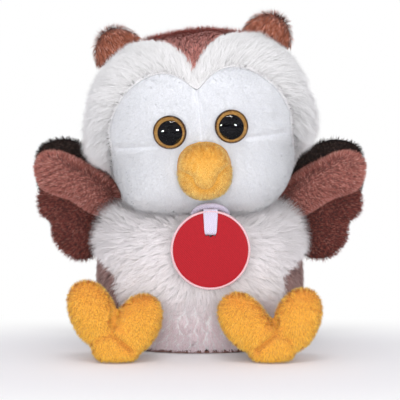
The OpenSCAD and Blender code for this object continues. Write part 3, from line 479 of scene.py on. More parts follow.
wave = node(fibre, "ShaderNodeMath", {0: part.outputs["X"], 1: 37.7}, operation="MULTIPLY")
wave = node(fibre, "ShaderNodeMath", {0: wave.outputs[0]}, operation="SINE")
each = node(fibre, "ShaderNodeMath", {0: wave.outputs[0], 1: take.outputs["Fibre Spread"], 2: 1.0},
            operation="MULTIPLY_ADD")
spot = node(fibre, "ShaderNodeMapRange", {"Value": patch.outputs["Fac"], 1: 0.25, 2: 0.75, 3: -1.0, 4: 1.0})
spot = node(fibre, "ShaderNodeMath", {0: spot.outputs[0], 1: take.outputs["Patch Depth"], 2: 1.0},
            operation="MULTIPLY_ADD")
both = node(fibre, "ShaderNodeMath", {0: each.outputs[0], 1: spot.outputs[0]}, operation="MULTIPLY")
lit = node(fibre, "ShaderNodeVectorMath", {0: with_stray.outputs[2], 1: both.outputs[0]},
           operation="MULTIPLY")
fibre.links.new(lit.outputs[0], give.inputs["Colour"])


def pile_material(name, root, tip, stray=None, share=0.0, patch=120.0, depth=0.06, spread=0.06, sheen=0.25,
                  roughness=0.75):
    """Material of a pile: roots darkened with painted shade, lighter tips and a share of strands of a stray
    colour.
    """
    made, tree = bare_material(name)
    group = node(tree, "ShaderNodeGroup", {
        "Shaded Root Colour": (*root, 1), "Tip Colour": (*tip, 1), "Stray Colour": (*(stray or tip), 1),
        "Stray Share": share, "Patch Size": patch, "Patch Depth": depth, "Fibre Spread": spread},
        node_tree=fibre)
    shader = node(tree, "ShaderNodeBsdfPrincipled", {
        "Base Color": group.outputs["Colour"], "Roughness": roughness, "Specular IOR Level": 0.08,
        "Sheen Weight": sheen, "Sheen Roughness": 0.5})
    node(tree, "ShaderNodeOutputMaterial", {"Surface": shader.outputs[0]})
    return made


def roots_on(ob, per_mm2, seed):
    """Evenly scattered points in mm and their normals over a panel's outer face."""
    mesh = ob.data
    mesh.calc_loop_triangles()
    corners = np.empty(len(mesh.loop_triangles) * 3, np.int32)
    mesh.loop_triangles.foreach_get("vertices", corners)
    corners = corners.reshape(-1, 3)
    points, normals = coordinates(mesh), directions(mesh)
    a, b, c = (points[corners[:, k]] for k in range(3))
    area = np.linalg.norm(np.cross(b - a, c - a), axis=1) / 2
    rng = np.random.default_rng(seed)
    count = int(area.sum() * per_mm2)
    chosen = np.searchsorted(np.cumsum(area), (np.arange(count) + rng.random(count)) / count * area.sum())
    chosen = np.clip(chosen, 0, len(corners) - 1)
    u, v = rng.random((2, count, 1))
    over = u + v > 1
    u, v = np.where(over, 1 - u, u), np.where(over, 1 - v, v)
    w = 1 - u - v
    at = w * a[chosen] + u * b[chosen] + v * c[chosen]
    n = w * normals[corners[chosen, 0]] + u * normals[corners[chosen, 1]] + v * normals[corners[chosen, 2]]
    return at, n / np.linalg.norm(n, axis=1, keepdims=True)


def unit(v):
    """Vectors of length 1 in the same directions."""
    return v / np.maximum(np.linalg.norm(v, axis=-1, keepdims=True), 1e-9)


def along_surface(v, n):
    """The part of v that lies in the surface."""
    return v - n * (v * n).sum(1, keepdims=True)


def tuft_centres(points, cell, seed):
    """The nearest of a seeded scatter of tuft centres, about one to each cell in mm."""
    scatter = np.array([[127.1, 269.5, 419.2], [311.7, 183.3, 371.9], [74.7, 246.1, 168.3]])
    base = np.floor(points / cell)
    best, found = np.full(len(points), 1e9), np.zeros_like(points)
    for dx in (-1, 0, 1):
        for dy in (-1, 0, 1):
            for dz in (-1, 0, 1):
                corner = base + (dx, dy, dz)
                mix = corner @ scatter + seed
                centre = (corner + np.modf(np.abs(np.sin(mix)) * 43758.5453)[0]) * cell
                away = ((centre - points) ** 2).sum(1)
                near = away < best
                best[near], found[near] = away[near], centre[near]
    return found


def pile(name, ob, roots, normals, length, lean, material, width=0.15, stand=0.6, tuft=2.0,
         gather=0.5, ruffle=0.25, ruffle_size=5.0, soft=0.75, seed=1, bend=True):
    """Pile of fine tapering strands on a panel, gathered into tufts. Sizes are in mm.

    Each root has its length and its lean, a vector along the surface. stand is how upright the
    strands are, ruffle how far they stray, and soft how much of the panel's own shading they take.
    """
    rng = np.random.default_rng(seed)
    count = len(roots)
    length = np.broadcast_to(length, count) * rng.uniform(0.75, 1.1, count)
    loose = along_surface(waves(roots, ruffle_size, seed + 5)
                          + 0.5 * waves(roots, ruffle_size * 0.4, seed + 6)
                          + 0.35 * rng.normal(size=(count, 3)), normals) * ruffle
    way = unit(normals * np.broadcast_to(stand, count)[:, None] + lean + loose)
    centres = tuft_centres(roots + along_surface(lean, normals) * length[:, None] * 0.5, tuft, seed)
    sideways = along_surface(centres - roots, normals)
    sideways -= way * (sideways * way).sum(1, keepdims=True)
    tips = roots + way * length[:, None] + sideways * gather
    start = roots - normals * 0.25
    middle = start + (unit(normals * 0.6 + way) * length[:, None] * 0.5) + sideways * gather * 0.3
    run = unit(tips - start)
    across = unit(np.cross(normals, run) + 1e-4 * rng.normal(size=(count, 3)))
    turn = rng.uniform(-0.6, 0.6, (count, 1))
    across = unit(across * np.cos(turn) + np.cross(run, across) * np.sin(turn))
    face = unit(np.cross(run, across))
    face *= np.sign((face * normals).sum(1, keepdims=True) + 1e-9)
    half = (width * rng.uniform(0.7, 1.2, (count, 1))) / 2
    if bend:
        corners = [start + across * half, start - across * half, middle + across * half * 0.85,
                   middle - across * half * 0.85, tips]
        order, heights = np.array([0, 1, 3, 0, 3, 2, 2, 3, 4]), np.array([0, 0, 0.5, 0.5, 1.0])
    else:
        corners = [start + across * half, start - across * half, tips]
        order, heights = np.array([0, 1, 2]), np.array([0, 0, 1.0])
    each = len(corners)
    points = np.stack(corners, 1).reshape(-1, 3)
    points[:, 2] = np.maximum(points[:, 2], 0.1)
    order = (np.arange(count)[:, None] * each + order).ravel()
    shade = unit(normals * soft + face * (1 - soft) + 0.08 * rng.normal(size=(count, 3)))
    mesh = bpy.data.meshes.new(name)
    mesh.vertices.add(len(points))
    mesh.vertices.foreach_set("co", (points * MM).astype(np.float32).ravel())
    mesh.loops.add(len(order))
    mesh.loops.foreach_set("vertex_index", order.astype(np.int32))
    mesh.polygons.add(len(order) // 3)
    mesh.polygons.foreach_set("loop_start", np.arange(0, len(order), 3, dtype=np.int32))
    mesh.update(calc_edges=True)
    mesh.polygons.foreach_set("use_smooth", np.ones(len(order) // 3, bool))
    # One map tells the material how far up its strand a point is, the other lays the strands
    # out side by side in cells.
    hold = order // each
    up = heights[order % each]
    chance = rng.random(count)[hold]
    strand_map = mesh.uv_layers.new(name="strand")
    strand_map.data.foreach_set("uv", np.stack([chance, up], 1).astype(np.float32).ravel())
    cells = math.ceil(math.sqrt(count))
    side = np.where((order % each) % 2 == 0, 0.15, 0.85) * (1 - up * 0.5) + up * 0.25
    u, v = (hold % cells + side) / cells, (hold // cells + 0.1 + 0.8 * up) / cells
    cell_map = mesh.uv_layers.new(name="OFBake")
    cell_map.data.foreach_set("uv", np.stack([u, v], 1).astype(np.float32).ravel())
    mesh.normals_split_custom_set_from_vertices(np.repeat(shade, each, axis=0).astype(np.float32))
    mesh.materials.append(material)
    made = bpy.data.objects.new(name, mesh)
    bpy.context.scene.collection.objects.link(made)
    made.parent = ob
    made.matrix_world = ob.matrix_world


cloth_t = 1.1


def thicken(ob):
    """Gives a panel the fabric's thickness on its inner side."""
    solid = ob.modifiers.new("fabric", "SOLIDIFY")
    solid.thickness = cloth_t * MM
    solid.offset = -1
    apply_modifiers(ob)


white_knit = backing("white_knit", (0.84, 0.83, 0.84), (0.66, 0.64, 0.65))
brown_knit = backing("brown_knit", (0.20, 0.10, 0.085), (0.10, 0.045, 0.04))
white_long = pile_material("white_belly_pile", (0.80, 0.765, 0.77), (0.90, 0.865, 0.88),
                           (0.42, 0.34, 0.25), 0.004, depth=0.05, spread=0.07)
brown_back = pile_material("brown_back_pile", (0.20, 0.10, 0.09), (0.46, 0.29, 0.27),
                           (0.60, 0.45, 0.42), 0.12, patch=160.0, depth=0.18, spread=0.18, sheen=0.08)
# Low on the belly the pile turns darker and pinker towards the bottom: partly its pinkish backing showing
# through the clipped pile, partly painted shade near the table.
tree = white_long.node_tree
place = node(tree, "ShaderNodeTexCoord")
height = node(tree, "ShaderNodeSeparateXYZ", {0: place.outputs["Object"]})
low_belly_shade_mask = node(tree, "ShaderNodeMapRange", {"Value": height.outputs["Z"], 1: 0.026, 2: 0.012})
pinkish_and_shaded = node(tree, "ShaderNodeMix", {"Factor": low_belly_shade_mask.outputs[0]}, data_type="RGBA",
               blend_type="MULTIPLY")
pinkish_and_shaded.inputs[7].default_value = (0.82, 0.71, 0.74, 1)
shader = next(n for n in tree.nodes if n.type == "BSDF_PRINCIPLED")
tree.links.new(shader.inputs["Base Color"].links[0].from_socket, pinkish_and_shaded.inputs[6])
tree.links.new(pinkish_and_shaded.outputs[2], shader.inputs["Base Color"])

belly = panel("belly_panel", body_points(lambda z: -belly_edge(z), belly_edge, 90), "torso", white_knit)
points = coordinates(belly.data)
seam_low, seam_high = (3.0, 2), (3.0, 17)
seam = line_depth(points, seam_low, seam_high, 0.8)
settle(belly.data, points - directions(belly.data) * seam[:, None] * 0.7)
roots, normals = roots_on(belly, 7.5, 21)
low_part = np.clip((roots[:, 2] - 20) / 10, 0, 1)
sides = np.clip(np.abs(roots[:, 0]) / 36 - 0.5, 0, 0.5) / 0.5
top = np.clip((roots[:, 2] - 48) / 10, 0, 1)
away = np.stack([roots[:, 0] * 1.2, np.zeros(len(roots)), (roots[:, 2] - 46) * 0.5], 1)
lean = unit(along_surface(away, normals)) * np.clip(np.linalg.norm(away, axis=1) / 14, 0.25, 1)[:, None]
lean += along_surface(np.array([[0, 0, -0.45]]), normals)
flank = np.clip((roots[:, 2] - 38) / 9, 0, 1) * sides
length = 2.0 + 3.8 * low_part + 3.2 * flank
length += 0.8 * top + 2.5 * top * sides
lean += along_surface(np.array([[0, 0, 1.0]]), normals) * (top * np.clip(sides * 2, 0, 1))[:, None]
length *= 1 - 0.6 * line_depth(roots, seam_low, seam_high, 0.7)
rise = (0.5 + 0.6 * low_part) * (1 - 0.65 * np.clip(flank + top, 0, 1))
pile("belly_pile", belly, roots, normals, length, lean * rise[:, None], white_long,
     width=0.18, stand=0.75 + 0.25 * np.maximum(flank, top), tuft=3.2, gather=0.6, ruffle=0.42,
     ruffle_size=6.5, soft=0.83, seed=22)
thicken(belly)
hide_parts("belly_plush")

back = panel("back_panel", body_points(lambda z: belly_edge(z) + 0.3, lambda z: 359.7 - belly_edge(z), 140),
             "torso", brown_knit)
roots, normals = roots_on(back, 5.5, 31)
lean = along_surface(np.array([[0, 0.15, -0.9]]), normals)
pile("back_pile", back, roots, normals, 3.6, lean, brown_back, width=0.18, stand=0.85,
     tuft=1.8, gather=0.45, ruffle=0.4, ruffle_size=4, seed=32)
thicken(back)
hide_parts("back_plush")


def ring_sheet(name, outer, inner, z, body, material, rows=6):
    """Flat panel between two outlines with equal numbers of points."""
    share = np.linspace(0, 1, rows)[:, None, None]
    flat = outer[None] * (1 - share) + inner[None] * share
    points = np.concatenate([flat, np.full(flat.shape[:2] + (1,), z)], -1)
    return panel(name, points[:, ::-1], body, material, around=True)


angle = np.radians(np.linspace(0, 360, 121)[:-1])
low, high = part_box("seat_fabric")
seat_edge = np.stack([(high.x - low.x) / 2 / MM * power(np.cos(angle), 2 / body_blunt),
                      body_y + (high.y - low.y) / 2 / MM * power(np.sin(angle), 2 / body_blunt)], -1)
low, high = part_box("case_lower")
bay_y, bay_half_y, bay_blunt = 8, 20.0, 5
gap = 0.5
half_x, half_y = high.x / MM + gap, bay_half_y + gap
opening = np.stack([half_x * power(np.cos(angle), 2 / bay_blunt),
                    bay_y + half_y * power(np.sin(angle), 2 / bay_blunt)], -1)
seat = ring_sheet("seat_panel", seat_edge, opening, 0.25, "torso", brown_knit)
points = coordinates(seat.data)
settle(seat.data, points + np.array([0, 0, 0.2]) * waves(points, 9, 41)[:, :1])
solid = seat.modifiers.new("fabric", "SOLIDIFY")
solid.thickness = 0.9 * MM
solid.offset = 1 if seat.data.polygons[0].normal.z > 0 else -1
apply_modifiers(seat)
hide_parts("seat_fabric")

# ------------------------------------------------------------------ feet
# Each foot is a stuffed bag of short golden plush: two round toes and a heel, drawn in where
# they meet, on a short leg sewn to the front of the body so that the foot can nod.

golden_knit = backing("golden_knit", (0.80, 0.36, 0.05), (0.52, 0.20, 0.02))
golden = pile_material("golden_pile", (0.98, 0.48, 0.05), (1.0, 0.66, 0.10), (1.0, 0.78, 0.25), 0.10,
                       patch=260.0, depth=0.06, spread=0.09, sheen=0.12)


def ball(centre, sizes, turn=0.0, blunt=2.0, rings=24, sides=36):
    """Points and faces of a rounded form in mm; sizes are half lengths, turn is about Y."""
    rho = np.radians(np.linspace(0, 180, rings + 2))[1:-1, None]
    phi = np.radians(np.linspace(0, 360, sides + 1)[:-1])[None]
    x = power(np.sin(rho), 2 / blunt) * power(np.cos(phi), 2 / blunt) * sizes[0]
    y = power(np.cos(rho), 2 / blunt) * sizes[1] + 0 * phi
    z = power(np.sin(rho), 2 / blunt) * power(np.sin(phi), 2 / blunt) * sizes[2]
    points = np.stack([x, y, z], -1).reshape(-1, 3)
    points = np.vstack([points, [0, sizes[1], 0], [0, -sizes[1], 0]])
    c, s = math.cos(turn), math.sin(turn)
    points = np.stack([points[:, 0] * c - points[:, 2] * s, points[:, 1],
                       points[:, 0] * s + points[:, 2] * c], -1)
    index = np.arange(rings * sides).reshape(rings, sides)
    right = np.roll(index, -1, axis=1)
    faces = np.stack([index[:-1], right[:-1], right[1:], index[1:]], -1).reshape(-1, 4).tolist()
    top, end = rings * sides, rings * sides + 1
    faces += [[top, int(b), int(a)] for a, b in zip(index[0], right[0])]
    faces += [[end, int(a), int(b)] for a, b in zip(index[-1], right[-1])]
    return points + np.array(centre, float), faces


def stuffed(name, forms, body, material, voxel=0.7, relax=8):
    """One sewn skin round several rounded forms, drawn in where they meet."""
    points, faces = [], []
    for p, f in forms:
        base = sum(len(q) for q in points)
        points.append(p)
        faces += [[i + base for i in face] for face in f]
    mesh = bpy.data.meshes.new(name)
    mesh.from_pydata((np.vstack(points) * MM).tolist(), [], faces)
    ob = link(name, mesh, body)
    grid = ob.modifiers.new("grid", "REMESH")
    grid.mode = "VOXEL"
    grid.voxel_size = voxel * MM
    ease = ob.modifiers.new("ease", "SMOOTH")
    ease.iterations = relax
    apply_modifiers(ob)
    ob.data.materials.clear()
    ob.data.materials.append(material)
    return ob


def make_foot(side, body, toes, fork):
    """toes are the angle, place and half sizes of each; fork is 1, or -1 where the creases mirror."""
    low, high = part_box("foot_" + side)
    mid_x, mid_y, back_y = (low.x + high.x) / 2 / MM, low.y / MM + 7.5, high.y / MM
    forms = [ball((mid_x + x, mid_y, z), (long, 7.7, wide), turn=math.radians(turn), blunt=2.15)
             for turn, x, z, long, wide in toes]
    forms.append(ball((mid_x, mid_y - 0.1, 8.6), (11.0, 8.0, 9.2), blunt=2.9))
    leg_y, leg_half = (mid_y + back_y) / 2 + 1, (back_y - mid_y) / 2 + 0.5
    forms.append(ball((mid_x, leg_y, 10.2), (7.0, leg_half, 7.0), blunt=2.4))
    foot = stuffed("foot_bag_" + side, forms, body, golden_knit, relax=4)

    def creases(points):
        """Between the toes, and from there under each toe; the one on the fork's far side is faint."""
        local = points - np.array([mid_x, 0, 0])
        lines = [((0.8 * fork, 27), (-1.8 * fork, 13.6), 1.0), ((-1.8 * fork, 13.6), (7 * fork, 6.0), 1.0),
                 ((-1.8 * fork, 13.6), (-8 * fork, 10.8), 0.35)]
        return np.max([line_depth(local, start, end, 1.2) * deep for start, end, deep in lines], axis=0)

    points, out = coordinates(foot.data), directions(foot.data)
    drawn = creases(points) * np.clip(-out[:, 1] * 1.5, 0, 1) * 2.3
    points += out * (waves(points, 11, 51)[:, :1] * 0.25 - 0.7 - drawn[:, None])
    points[:, 2] = np.maximum(points[:, 2], 0.3)
    settle(foot.data, points)
    roots, normals = roots_on(foot, 9, 52)
    keep = roots[:, 2] > 0.8
    roots, normals = roots[keep], normals[keep]
    lean = along_surface(np.array([[0, 0, -0.5]]), normals)
    length = np.minimum(1.5, roots[:, 2] * 1.2) * (1 - 0.85 * creases(roots))
    pile("foot_pile_" + side, foot, roots, normals, length, lean, golden, width=0.20,
         stand=0.85, tuft=1.3, gather=0.35, ruffle=0.45, ruffle_size=2.6, soft=0.8, seed=53, bend=False)
    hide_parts("foot_" + side)


make_foot("left", "foot_left", [(115, -9.7, 20.3, 15.5, 10.2), (62, 8.9, 16.0, 14.0, 9.8)], 1)
make_foot("right", "foot_right", [(128, -11.2, 16.6, 14.5, 10.0), (66, 10.6, 17.8, 14.5, 10.2)], -1)

# ------------------------------------------------------------------ wings
# A wing is three sewn layers on a plastic paddle: a light brown lobe in front, a darker layer
# with two scallops behind it, and a black back. They swing as one on the shaft's arm.

root_x, root_z = 47.4, 60.0
outlines = {
    "upper": [[-8.8, 3.5], [-7.4, 11], [-0.9, 17], [7.6, 22.8], [16.6, 26.6], [24.1, 25.8],
              [27.2, 19.5], [23.6, 10.5], [11.6, 5.5], [1.6, -1.2], [-3.9, -0.5]],
    "lower": [[0.1, 1], [0, -12], [1.6, -20.5], [8.6, -22.6], [15.6, -18.6], [19.6, -11.8],
              [20, -5], [25, -1.2], [26.1, 5], [22.6, 13], [11.6, 16], [-0.4, 12]],
    "back": [[-8.8, 5], [-7.2, 19], [1.2, 27.2], [9.4, 32], [17.1, 32.6], [24.4, 29.6], [27.2, 20.6],
             [24.6, 6], [20.6, -5], [14.6, -15], [4.6, -18], [0.6, -12], [0.4, 0]]}


def closed_line(knots, each=8):
    """Smooth closed line through the knots."""
    p = np.array(knots, float)
    a, b, c, d = np.roll(p, 1, 0), p, np.roll(p, -1, 0), np.roll(p, -2, 0)
    t = np.linspace(0, 1, each + 1)[:-1][None, :, None]
    a, b, c, d = (q[:, None, :] for q in (a, b, c, d))
    return spline(a, b, c, d, t).reshape(-1, 2)


def cushion(name, outline, y_front, y_back, body, material, side, belly=0.5, rows=9, inset=0.5):
    """Stuffed pad inside an outline of X and Z, its seam at the outline; side mirrors it."""
    middle = outline.mean(0)
    rings = np.sin(np.linspace(0.12, math.pi / 2, rows))
    reach = outline - middle
    reach *= (1 - inset / np.linalg.norm(reach, axis=1, keepdims=True))
    y_seam = y_front * (1 - belly) + y_back * belly
    grid = []
    for y_face, shares in ((y_front, rings), (y_back, rings[-2::-1])):
        for s in shares:
            flat = middle + reach * s
            y = y_seam + (y_face - y_seam) * (1 - s ** 2.6) ** 0.55 + 0 * flat[:, 0]
            grid.append(np.stack([flat[:, 0], y, flat[:, 1]], -1))
    points = np.array(grid)
    if side < 0:
        points = points[:, ::-1] * np.array([-1, 1, 1])
    return panel(name, points, body, material, around=True, pole_first=True, pole_last=True)


wing_knit = {"upper": backing("wing_knit", (0.22, 0.085, 0.07), (0.10, 0.03, 0.025)),
             "lower": backing("wing_dark_knit", (0.07, 0.022, 0.018), (0.03, 0.01, 0.008)),
             "back": backing("wing_black_knit", (0.015, 0.008, 0.007), (0.004, 0.002, 0.002))}
wing_pile = {
    "upper": pile_material("wing_light_pile", (0.18, 0.042, 0.034), (0.52, 0.195, 0.16),
                           (0.80, 0.46, 0.39), 0.11, patch=230.0, depth=0.16, spread=0.16, sheen=0.08),
    "lower": pile_material("wing_dark_pile", (0.06, 0.013, 0.010), (0.245, 0.068, 0.055),
                           (0.42, 0.19, 0.16), 0.08, patch=180.0, depth=0.2, spread=0.16, sheen=0.06),
    "back": pile_material("wing_black_pile", (0.006, 0.003, 0.003), (0.045, 0.029, 0.025),
                          (0.14, 0.10, 0.085), 0.14, patch=200.0, depth=0.2, spread=0.2, sheen=0.04)}


def make_wing(layer, side, body, seed):
    """One layer of a wing; side is 1 on the right and -1 on the left."""
    name = "wing_" + layer + ("_right" if side > 0 else "_left")
    low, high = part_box(name)
    outline = closed_line(outlines[layer])
    outline[:, 0] -= 2.4 * np.clip((9 - outline[:, 0]) / 9, 0, 1)
    outline += np.array([root_x, root_z])
    swell = {"upper": 1.3, "lower": 1.12, "back": -0.4}[layer]
    pad = cushion("wing_pad_" + name[5:], outline, low.y / MM + 0.5, high.y / MM - 0.3, body,
                  wing_knit[layer], side, belly=swell)
    points = coordinates(pad.data)
    settle(pad.data, points + directions(pad.data) * waves(points, 12, seed)[:, :1] * 0.35)
    roots, normals = roots_on(pad, 9, seed + 1)
    front = normals[:, 1] < 0.55
    if layer == "back":
        front = (normals[:, 1] > -0.55) | (roots[:, 2] > root_z + 8)
    roots, normals = roots[front], normals[front]
    outwards = np.array([[side * 0.8, -0.1, -0.15 if layer != "back" else 0.1]])
    # Round the rim the pile is combed over the paddle between the layers.
    rim = np.clip((np.hypot(normals[:, 0], normals[:, 2]) - 0.6) / 0.3, 0, 1)
    over = np.array([[0, 1.3 if layer != "back" else -1.3, 0]])
    lean = along_surface(outwards, normals) * 0.55 * (1 - rim[:, None]) + over * rim[:, None]
    length = (2.6 if layer == "upper" else 2.4) + 0.9 * rim
    pile("wing_pile_" + name[5:], pad, roots, normals, length, lean, wing_pile[layer],
         width=0.18, stand=0.95, tuft=1.35, gather=0.5, ruffle=0.55, ruffle_size=2.2, seed=seed + 2)
    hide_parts(name)


for side, body in ((1, "wing_right"), (-1, "wing_left")):
    for k, layer in enumerate(("back", "lower", "upper")):
        make_wing(layer, side, body, 61 + 7 * k + (100 if side < 0 else 0))

# ------------------------------------------------------------------ head
# The head is a stuffed ball of three panels: a short-piled face, a long white ruff round it
# and a brown back whose front end comes to a point on the forehead. It turns on the neck.

low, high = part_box("head_ruff")
head_a, head_b, head_c = 47.5, 41.0, 38.5
head_low = low.z / MM
head_mid = np.array([0, 2.0, head_low + head_c - 0.3])
tilt = math.radians(5.5)


def upright(p):
    """Points of the head in its own upright frame, in mm from its centre."""
    q = p - head_mid
    return np.stack([q[:, 0] * math.cos(tilt) + q[:, 2] * math.sin(tilt), q[:, 1],
                     q[:, 2] * math.cos(tilt) - q[:, 0] * math.sin(tilt)], -1)


def tilted(q):
    """Back from the head's own frame."""
    return np.stack([q[..., 0] * math.cos(tilt) - q[..., 2] * math.sin(tilt), q[..., 1],
                     q[..., 2] * math.cos(tilt) + q[..., 0] * math.sin(tilt)], -1) + head_mid


def squareness(up):
    """Exponent of the head's rounded box: squarer towards the jaw."""
    t = np.clip((-up - 0.2) / 0.5, 0, 1)
    return 2.3 + 0.9 * t * t * (3 - 2 * t)


def jaw_width(z):
    """How much narrower the head is at the jaw than its cheeks."""
    t = np.clip((-z - 4) / 14, 0, 1)
    return 1 - 0.08 * t * t * (3 - 2 * t)


def head_points(phi, rho):
    """Surface of the head: rho from straight ahead and phi round it, in degrees."""
    phi, rho = np.radians(phi), np.radians(rho)
    d = np.stack([np.sin(rho) * np.cos(phi), -np.cos(rho) + 0 * phi, np.sin(rho) * np.sin(phi)], -1)
    sizes = np.array([head_a, head_b, head_c])
    blunt = squareness(d[..., 2:])
    p = d * ((np.abs(d) / sizes) ** blunt).sum(-1, keepdims=True) ** (-1 / blunt)
    ground = head_low - head_mid[2]
    squeeze = np.where(p[..., 2:] < ground, ground / np.minimum(p[..., 2:], -1e-6), 1.0)
    p = p * squeeze
    p[..., 0] *= jaw_width(p[..., 2])
    p[..., 2] -= 4.6 * np.clip((-p[..., 1] - 6) / 14, 0, 1) * np.clip((-p[..., 2] - 20) / 14, 0, 1)
    u = np.clip((p[..., 2] - ground) / 14, 0, 1)
    a = tilt * u * u * (3 - 2 * u)
    return head_mid + np.stack([p[..., 0] * np.cos(a) - p[..., 2] * np.sin(a), p[..., 1],
                                p[..., 0] * np.sin(a) + p[..., 2] * np.cos(a)], -1)


# The filling is narrowed with the jaw, and stays a little inside the panels.
filling = stuff("head_filling", "head_stuffing", "head")
inside = upright(coordinates(filling.data))
inside[:, 0] *= jaw_width(inside[:, 2]) - 0.01
settle(filling.data, tilted(inside))


def face_edge(phi):
    """How far the face reaches from straight ahead, in degrees, at each angle round the head."""
    s = np.sin(np.radians(phi))
    jaw = np.clip((-s - 0.12) / 0.5, 0, 1)
    return (57 - 18.5 * np.maximum(0, s) + 36 * jaw * jaw * (3 - 2 * jaw)
            - 18 * np.exp(-((phi - 90) / 24) ** 2))


def back_edge(phi):
    """Where the brown back begins, in the same degrees: in a point over the forehead."""
    s = np.sin(np.radians(phi))
    point = 32 + 1.75 * np.sqrt((phi - 90) ** 2 + 4)
    rest = 105 + 8 * np.maximum(0, s) + 13 * np.maximum(0, -s)
    return -6 * np.log(np.exp(-point / 6) + np.exp(-rest / 6))


def head_grid(start, end, rows, columns=180):
    """Grid over the head between two edges, each an angle or a function of the angle round it."""
    phi = np.linspace(0, 360, columns + 1)[:-1] - 90
    a = start(phi) + 0.2 if callable(start) else np.full(columns, float(start))
    b = end(phi) - 0.2 if callable(end) else np.full(columns, float(end))
    share = np.linspace(0, 1, rows)[:, None]
    return head_points(np.broadcast_to(phi, (rows, columns)), a * (1 - share) + b * share)


def soften(ob, size, seed):
    """The filling's soft lumps under a panel."""
    points = coordinates(ob.data)
    settle(ob.data, points + directions(ob.data) * waves(points, 24, seed)[:, :1] * size)


def face_seams(points):
    """How near each point is to the face's stitched lines: the middle seam and the two cheek darts."""
    q = upright(points)
    lines = [((0, 20), (0, -6), 0.9, 0.8), ((-19, -8.2), (-37, -8.0), 0.8, 1),
             ((19, -8.2), (37, -8.2), 0.8, 1)]
    return np.max([line_depth(q, start, end, wide) * deep for start, end, wide, deep in lines], axis=0)


head_blunt = 2.3
eye_r, eye_x, eye_z = 7.2, 13.0, -2.6
eye_y = head_b * (1 - (eye_x / head_a) ** head_blunt) ** (1 / head_blunt)
face_knit = backing("face_knit", (0.82, 0.83, 0.86), (0.70, 0.71, 0.75), bump=0.2)
face_white = pile_material("face_white_pile", (0.74, 0.745, 0.76), (0.82, 0.825, 0.85), depth=0.03,
                           spread=0.03)
face = panel("face_skin", head_grid(1.0, face_edge, 44), "head", face_knit, around=True, pole_first=True)
soften(face, 0.3, 71)
points = coordinates(face.data)
seam = face_seams(points)
settle(face.data, points - directions(face.data) * (0.4 + seam[:, None] * 0.8))
roots, normals = roots_on(face, 11, 72)
q = upright(roots)
clear = np.ones(len(roots), bool)
for s in (1, -1):
    clear &= np.hypot(q[:, 0] - s * eye_x, q[:, 2] - eye_z) > eye_r + 0.1
clear &= ~((np.abs(q[:, 0]) < 9) & (q[:, 2] < -10) & (q[:, 2] > -30))
roots, normals, q = roots[clear], normals[clear], q[clear]
lean = along_surface(np.stack([q[:, 0] * 0.01, 0 * q[:, 0], -0.4 - 0 * q[:, 0]], -1), normals)
length = 1.5 * (1 - 0.75 * face_seams(roots))
pile("face_pile", face, roots, normals, length, lean, face_white, width=0.17, stand=0.8,
     tuft=1.5, gather=0.2, ruffle=0.3, ruffle_size=3, soft=0.85, seed=73, bend=False)
thicken(face)
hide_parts("face_panel")

ruff_white = pile_material("ruff_white_pile", (0.82, 0.81, 0.81), (0.91, 0.90, 0.905), depth=0.03,
                           spread=0.05)
ruff = panel("ruff_skin", head_grid(face_edge, back_edge, 30), "head", white_knit, around=True)
soften(ruff, 0.4, 81)
roots, normals = roots_on(ruff, 7, 82)
q = upright(roots)
lift = (roots[:, 2] > head_low + 1.0)
roots, normals, q = roots[lift], normals[lift], q[lift]
reach = np.hypot(q[:, 0], q[:, 2])
away = np.stack([q[:, 0] / reach, 0.9 + 0 * reach, q[:, 2] / reach - 0.55], -1)
lean = along_surface(away, normals) * 0.75
phi = np.degrees(np.arctan2(q[:, 2], q[:, 0]))
phi = np.where(phi < -90, phi + 360, phi)
rho = np.degrees(np.arccos(np.clip(-q[:, 1] / np.linalg.norm(q, axis=1), -1, 1)))
# inner grows away from the face, jowl is the long pile of the cheeks, perch stands up in front
# of the ears, brow shortens the upper pile towards the brown back, and edge combs it forwards
# over the rim of the face.
inner = np.clip((rho - face_edge(phi)) * 0.8 / 5, 0, 1)
jowl = np.clip((np.abs(q[:, 0]) - 28) / 14, 0, 1) * np.exp(-((q[:, 2] + 3) / 14) ** 2)
perch = np.exp(-((np.abs(q[:, 0]) - 33) ** 2 / 90 + (q[:, 1] + 1) ** 2 / 40)) * (q[:, 2] > 12)
brow = np.clip((back_edge(phi) - rho) / 16, 0, 1)
length = (2.4 + 3.2 * inner + 4.0 * inner * jowl) * (0.35 + 0.65 * np.where(q[:, 2] > 12, brow, 1))
length *= (np.clip((roots[:, 2] - head_low) / 8 + 0.3, 0.3, 1)
           * (1 - 0.45 * np.clip((-q[:, 2] - 10) / 9, 0, 1)))
length = np.maximum(length, 4.4 * perch)
down = along_surface(np.stack([np.sign(q[:, 0]) * 0.4, 0 * reach, -0.6 + 0 * reach], -1), normals)
lean = lean * (1 - 0.6 * jowl)[:, None] + down * jowl[:, None]
edge = 0.7 * np.clip(1 - inner * 1.6, 0, 1)[:, None]
outwards = along_surface(np.stack([q[:, 0] / reach, 0.9 + 0 * reach, q[:, 2] / reach], -1), normals)
lean = lean * (1 - edge) - outwards * edge * 0.5
upwards = along_surface(np.array([[0, 0.2, 1.0]]), normals)
lean = lean * (1 - perch[:, None]) + upwards * perch[:, None]
pile("ruff_pile", ruff, roots, normals, length, lean, ruff_white, width=0.18,
     stand=0.8 + 0.2 * np.maximum(jowl, perch), tuft=2.6, gather=0.5, ruffle=0.32, ruffle_size=6,
     soft=0.87, seed=83)
thicken(ruff)
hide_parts("head_ruff")

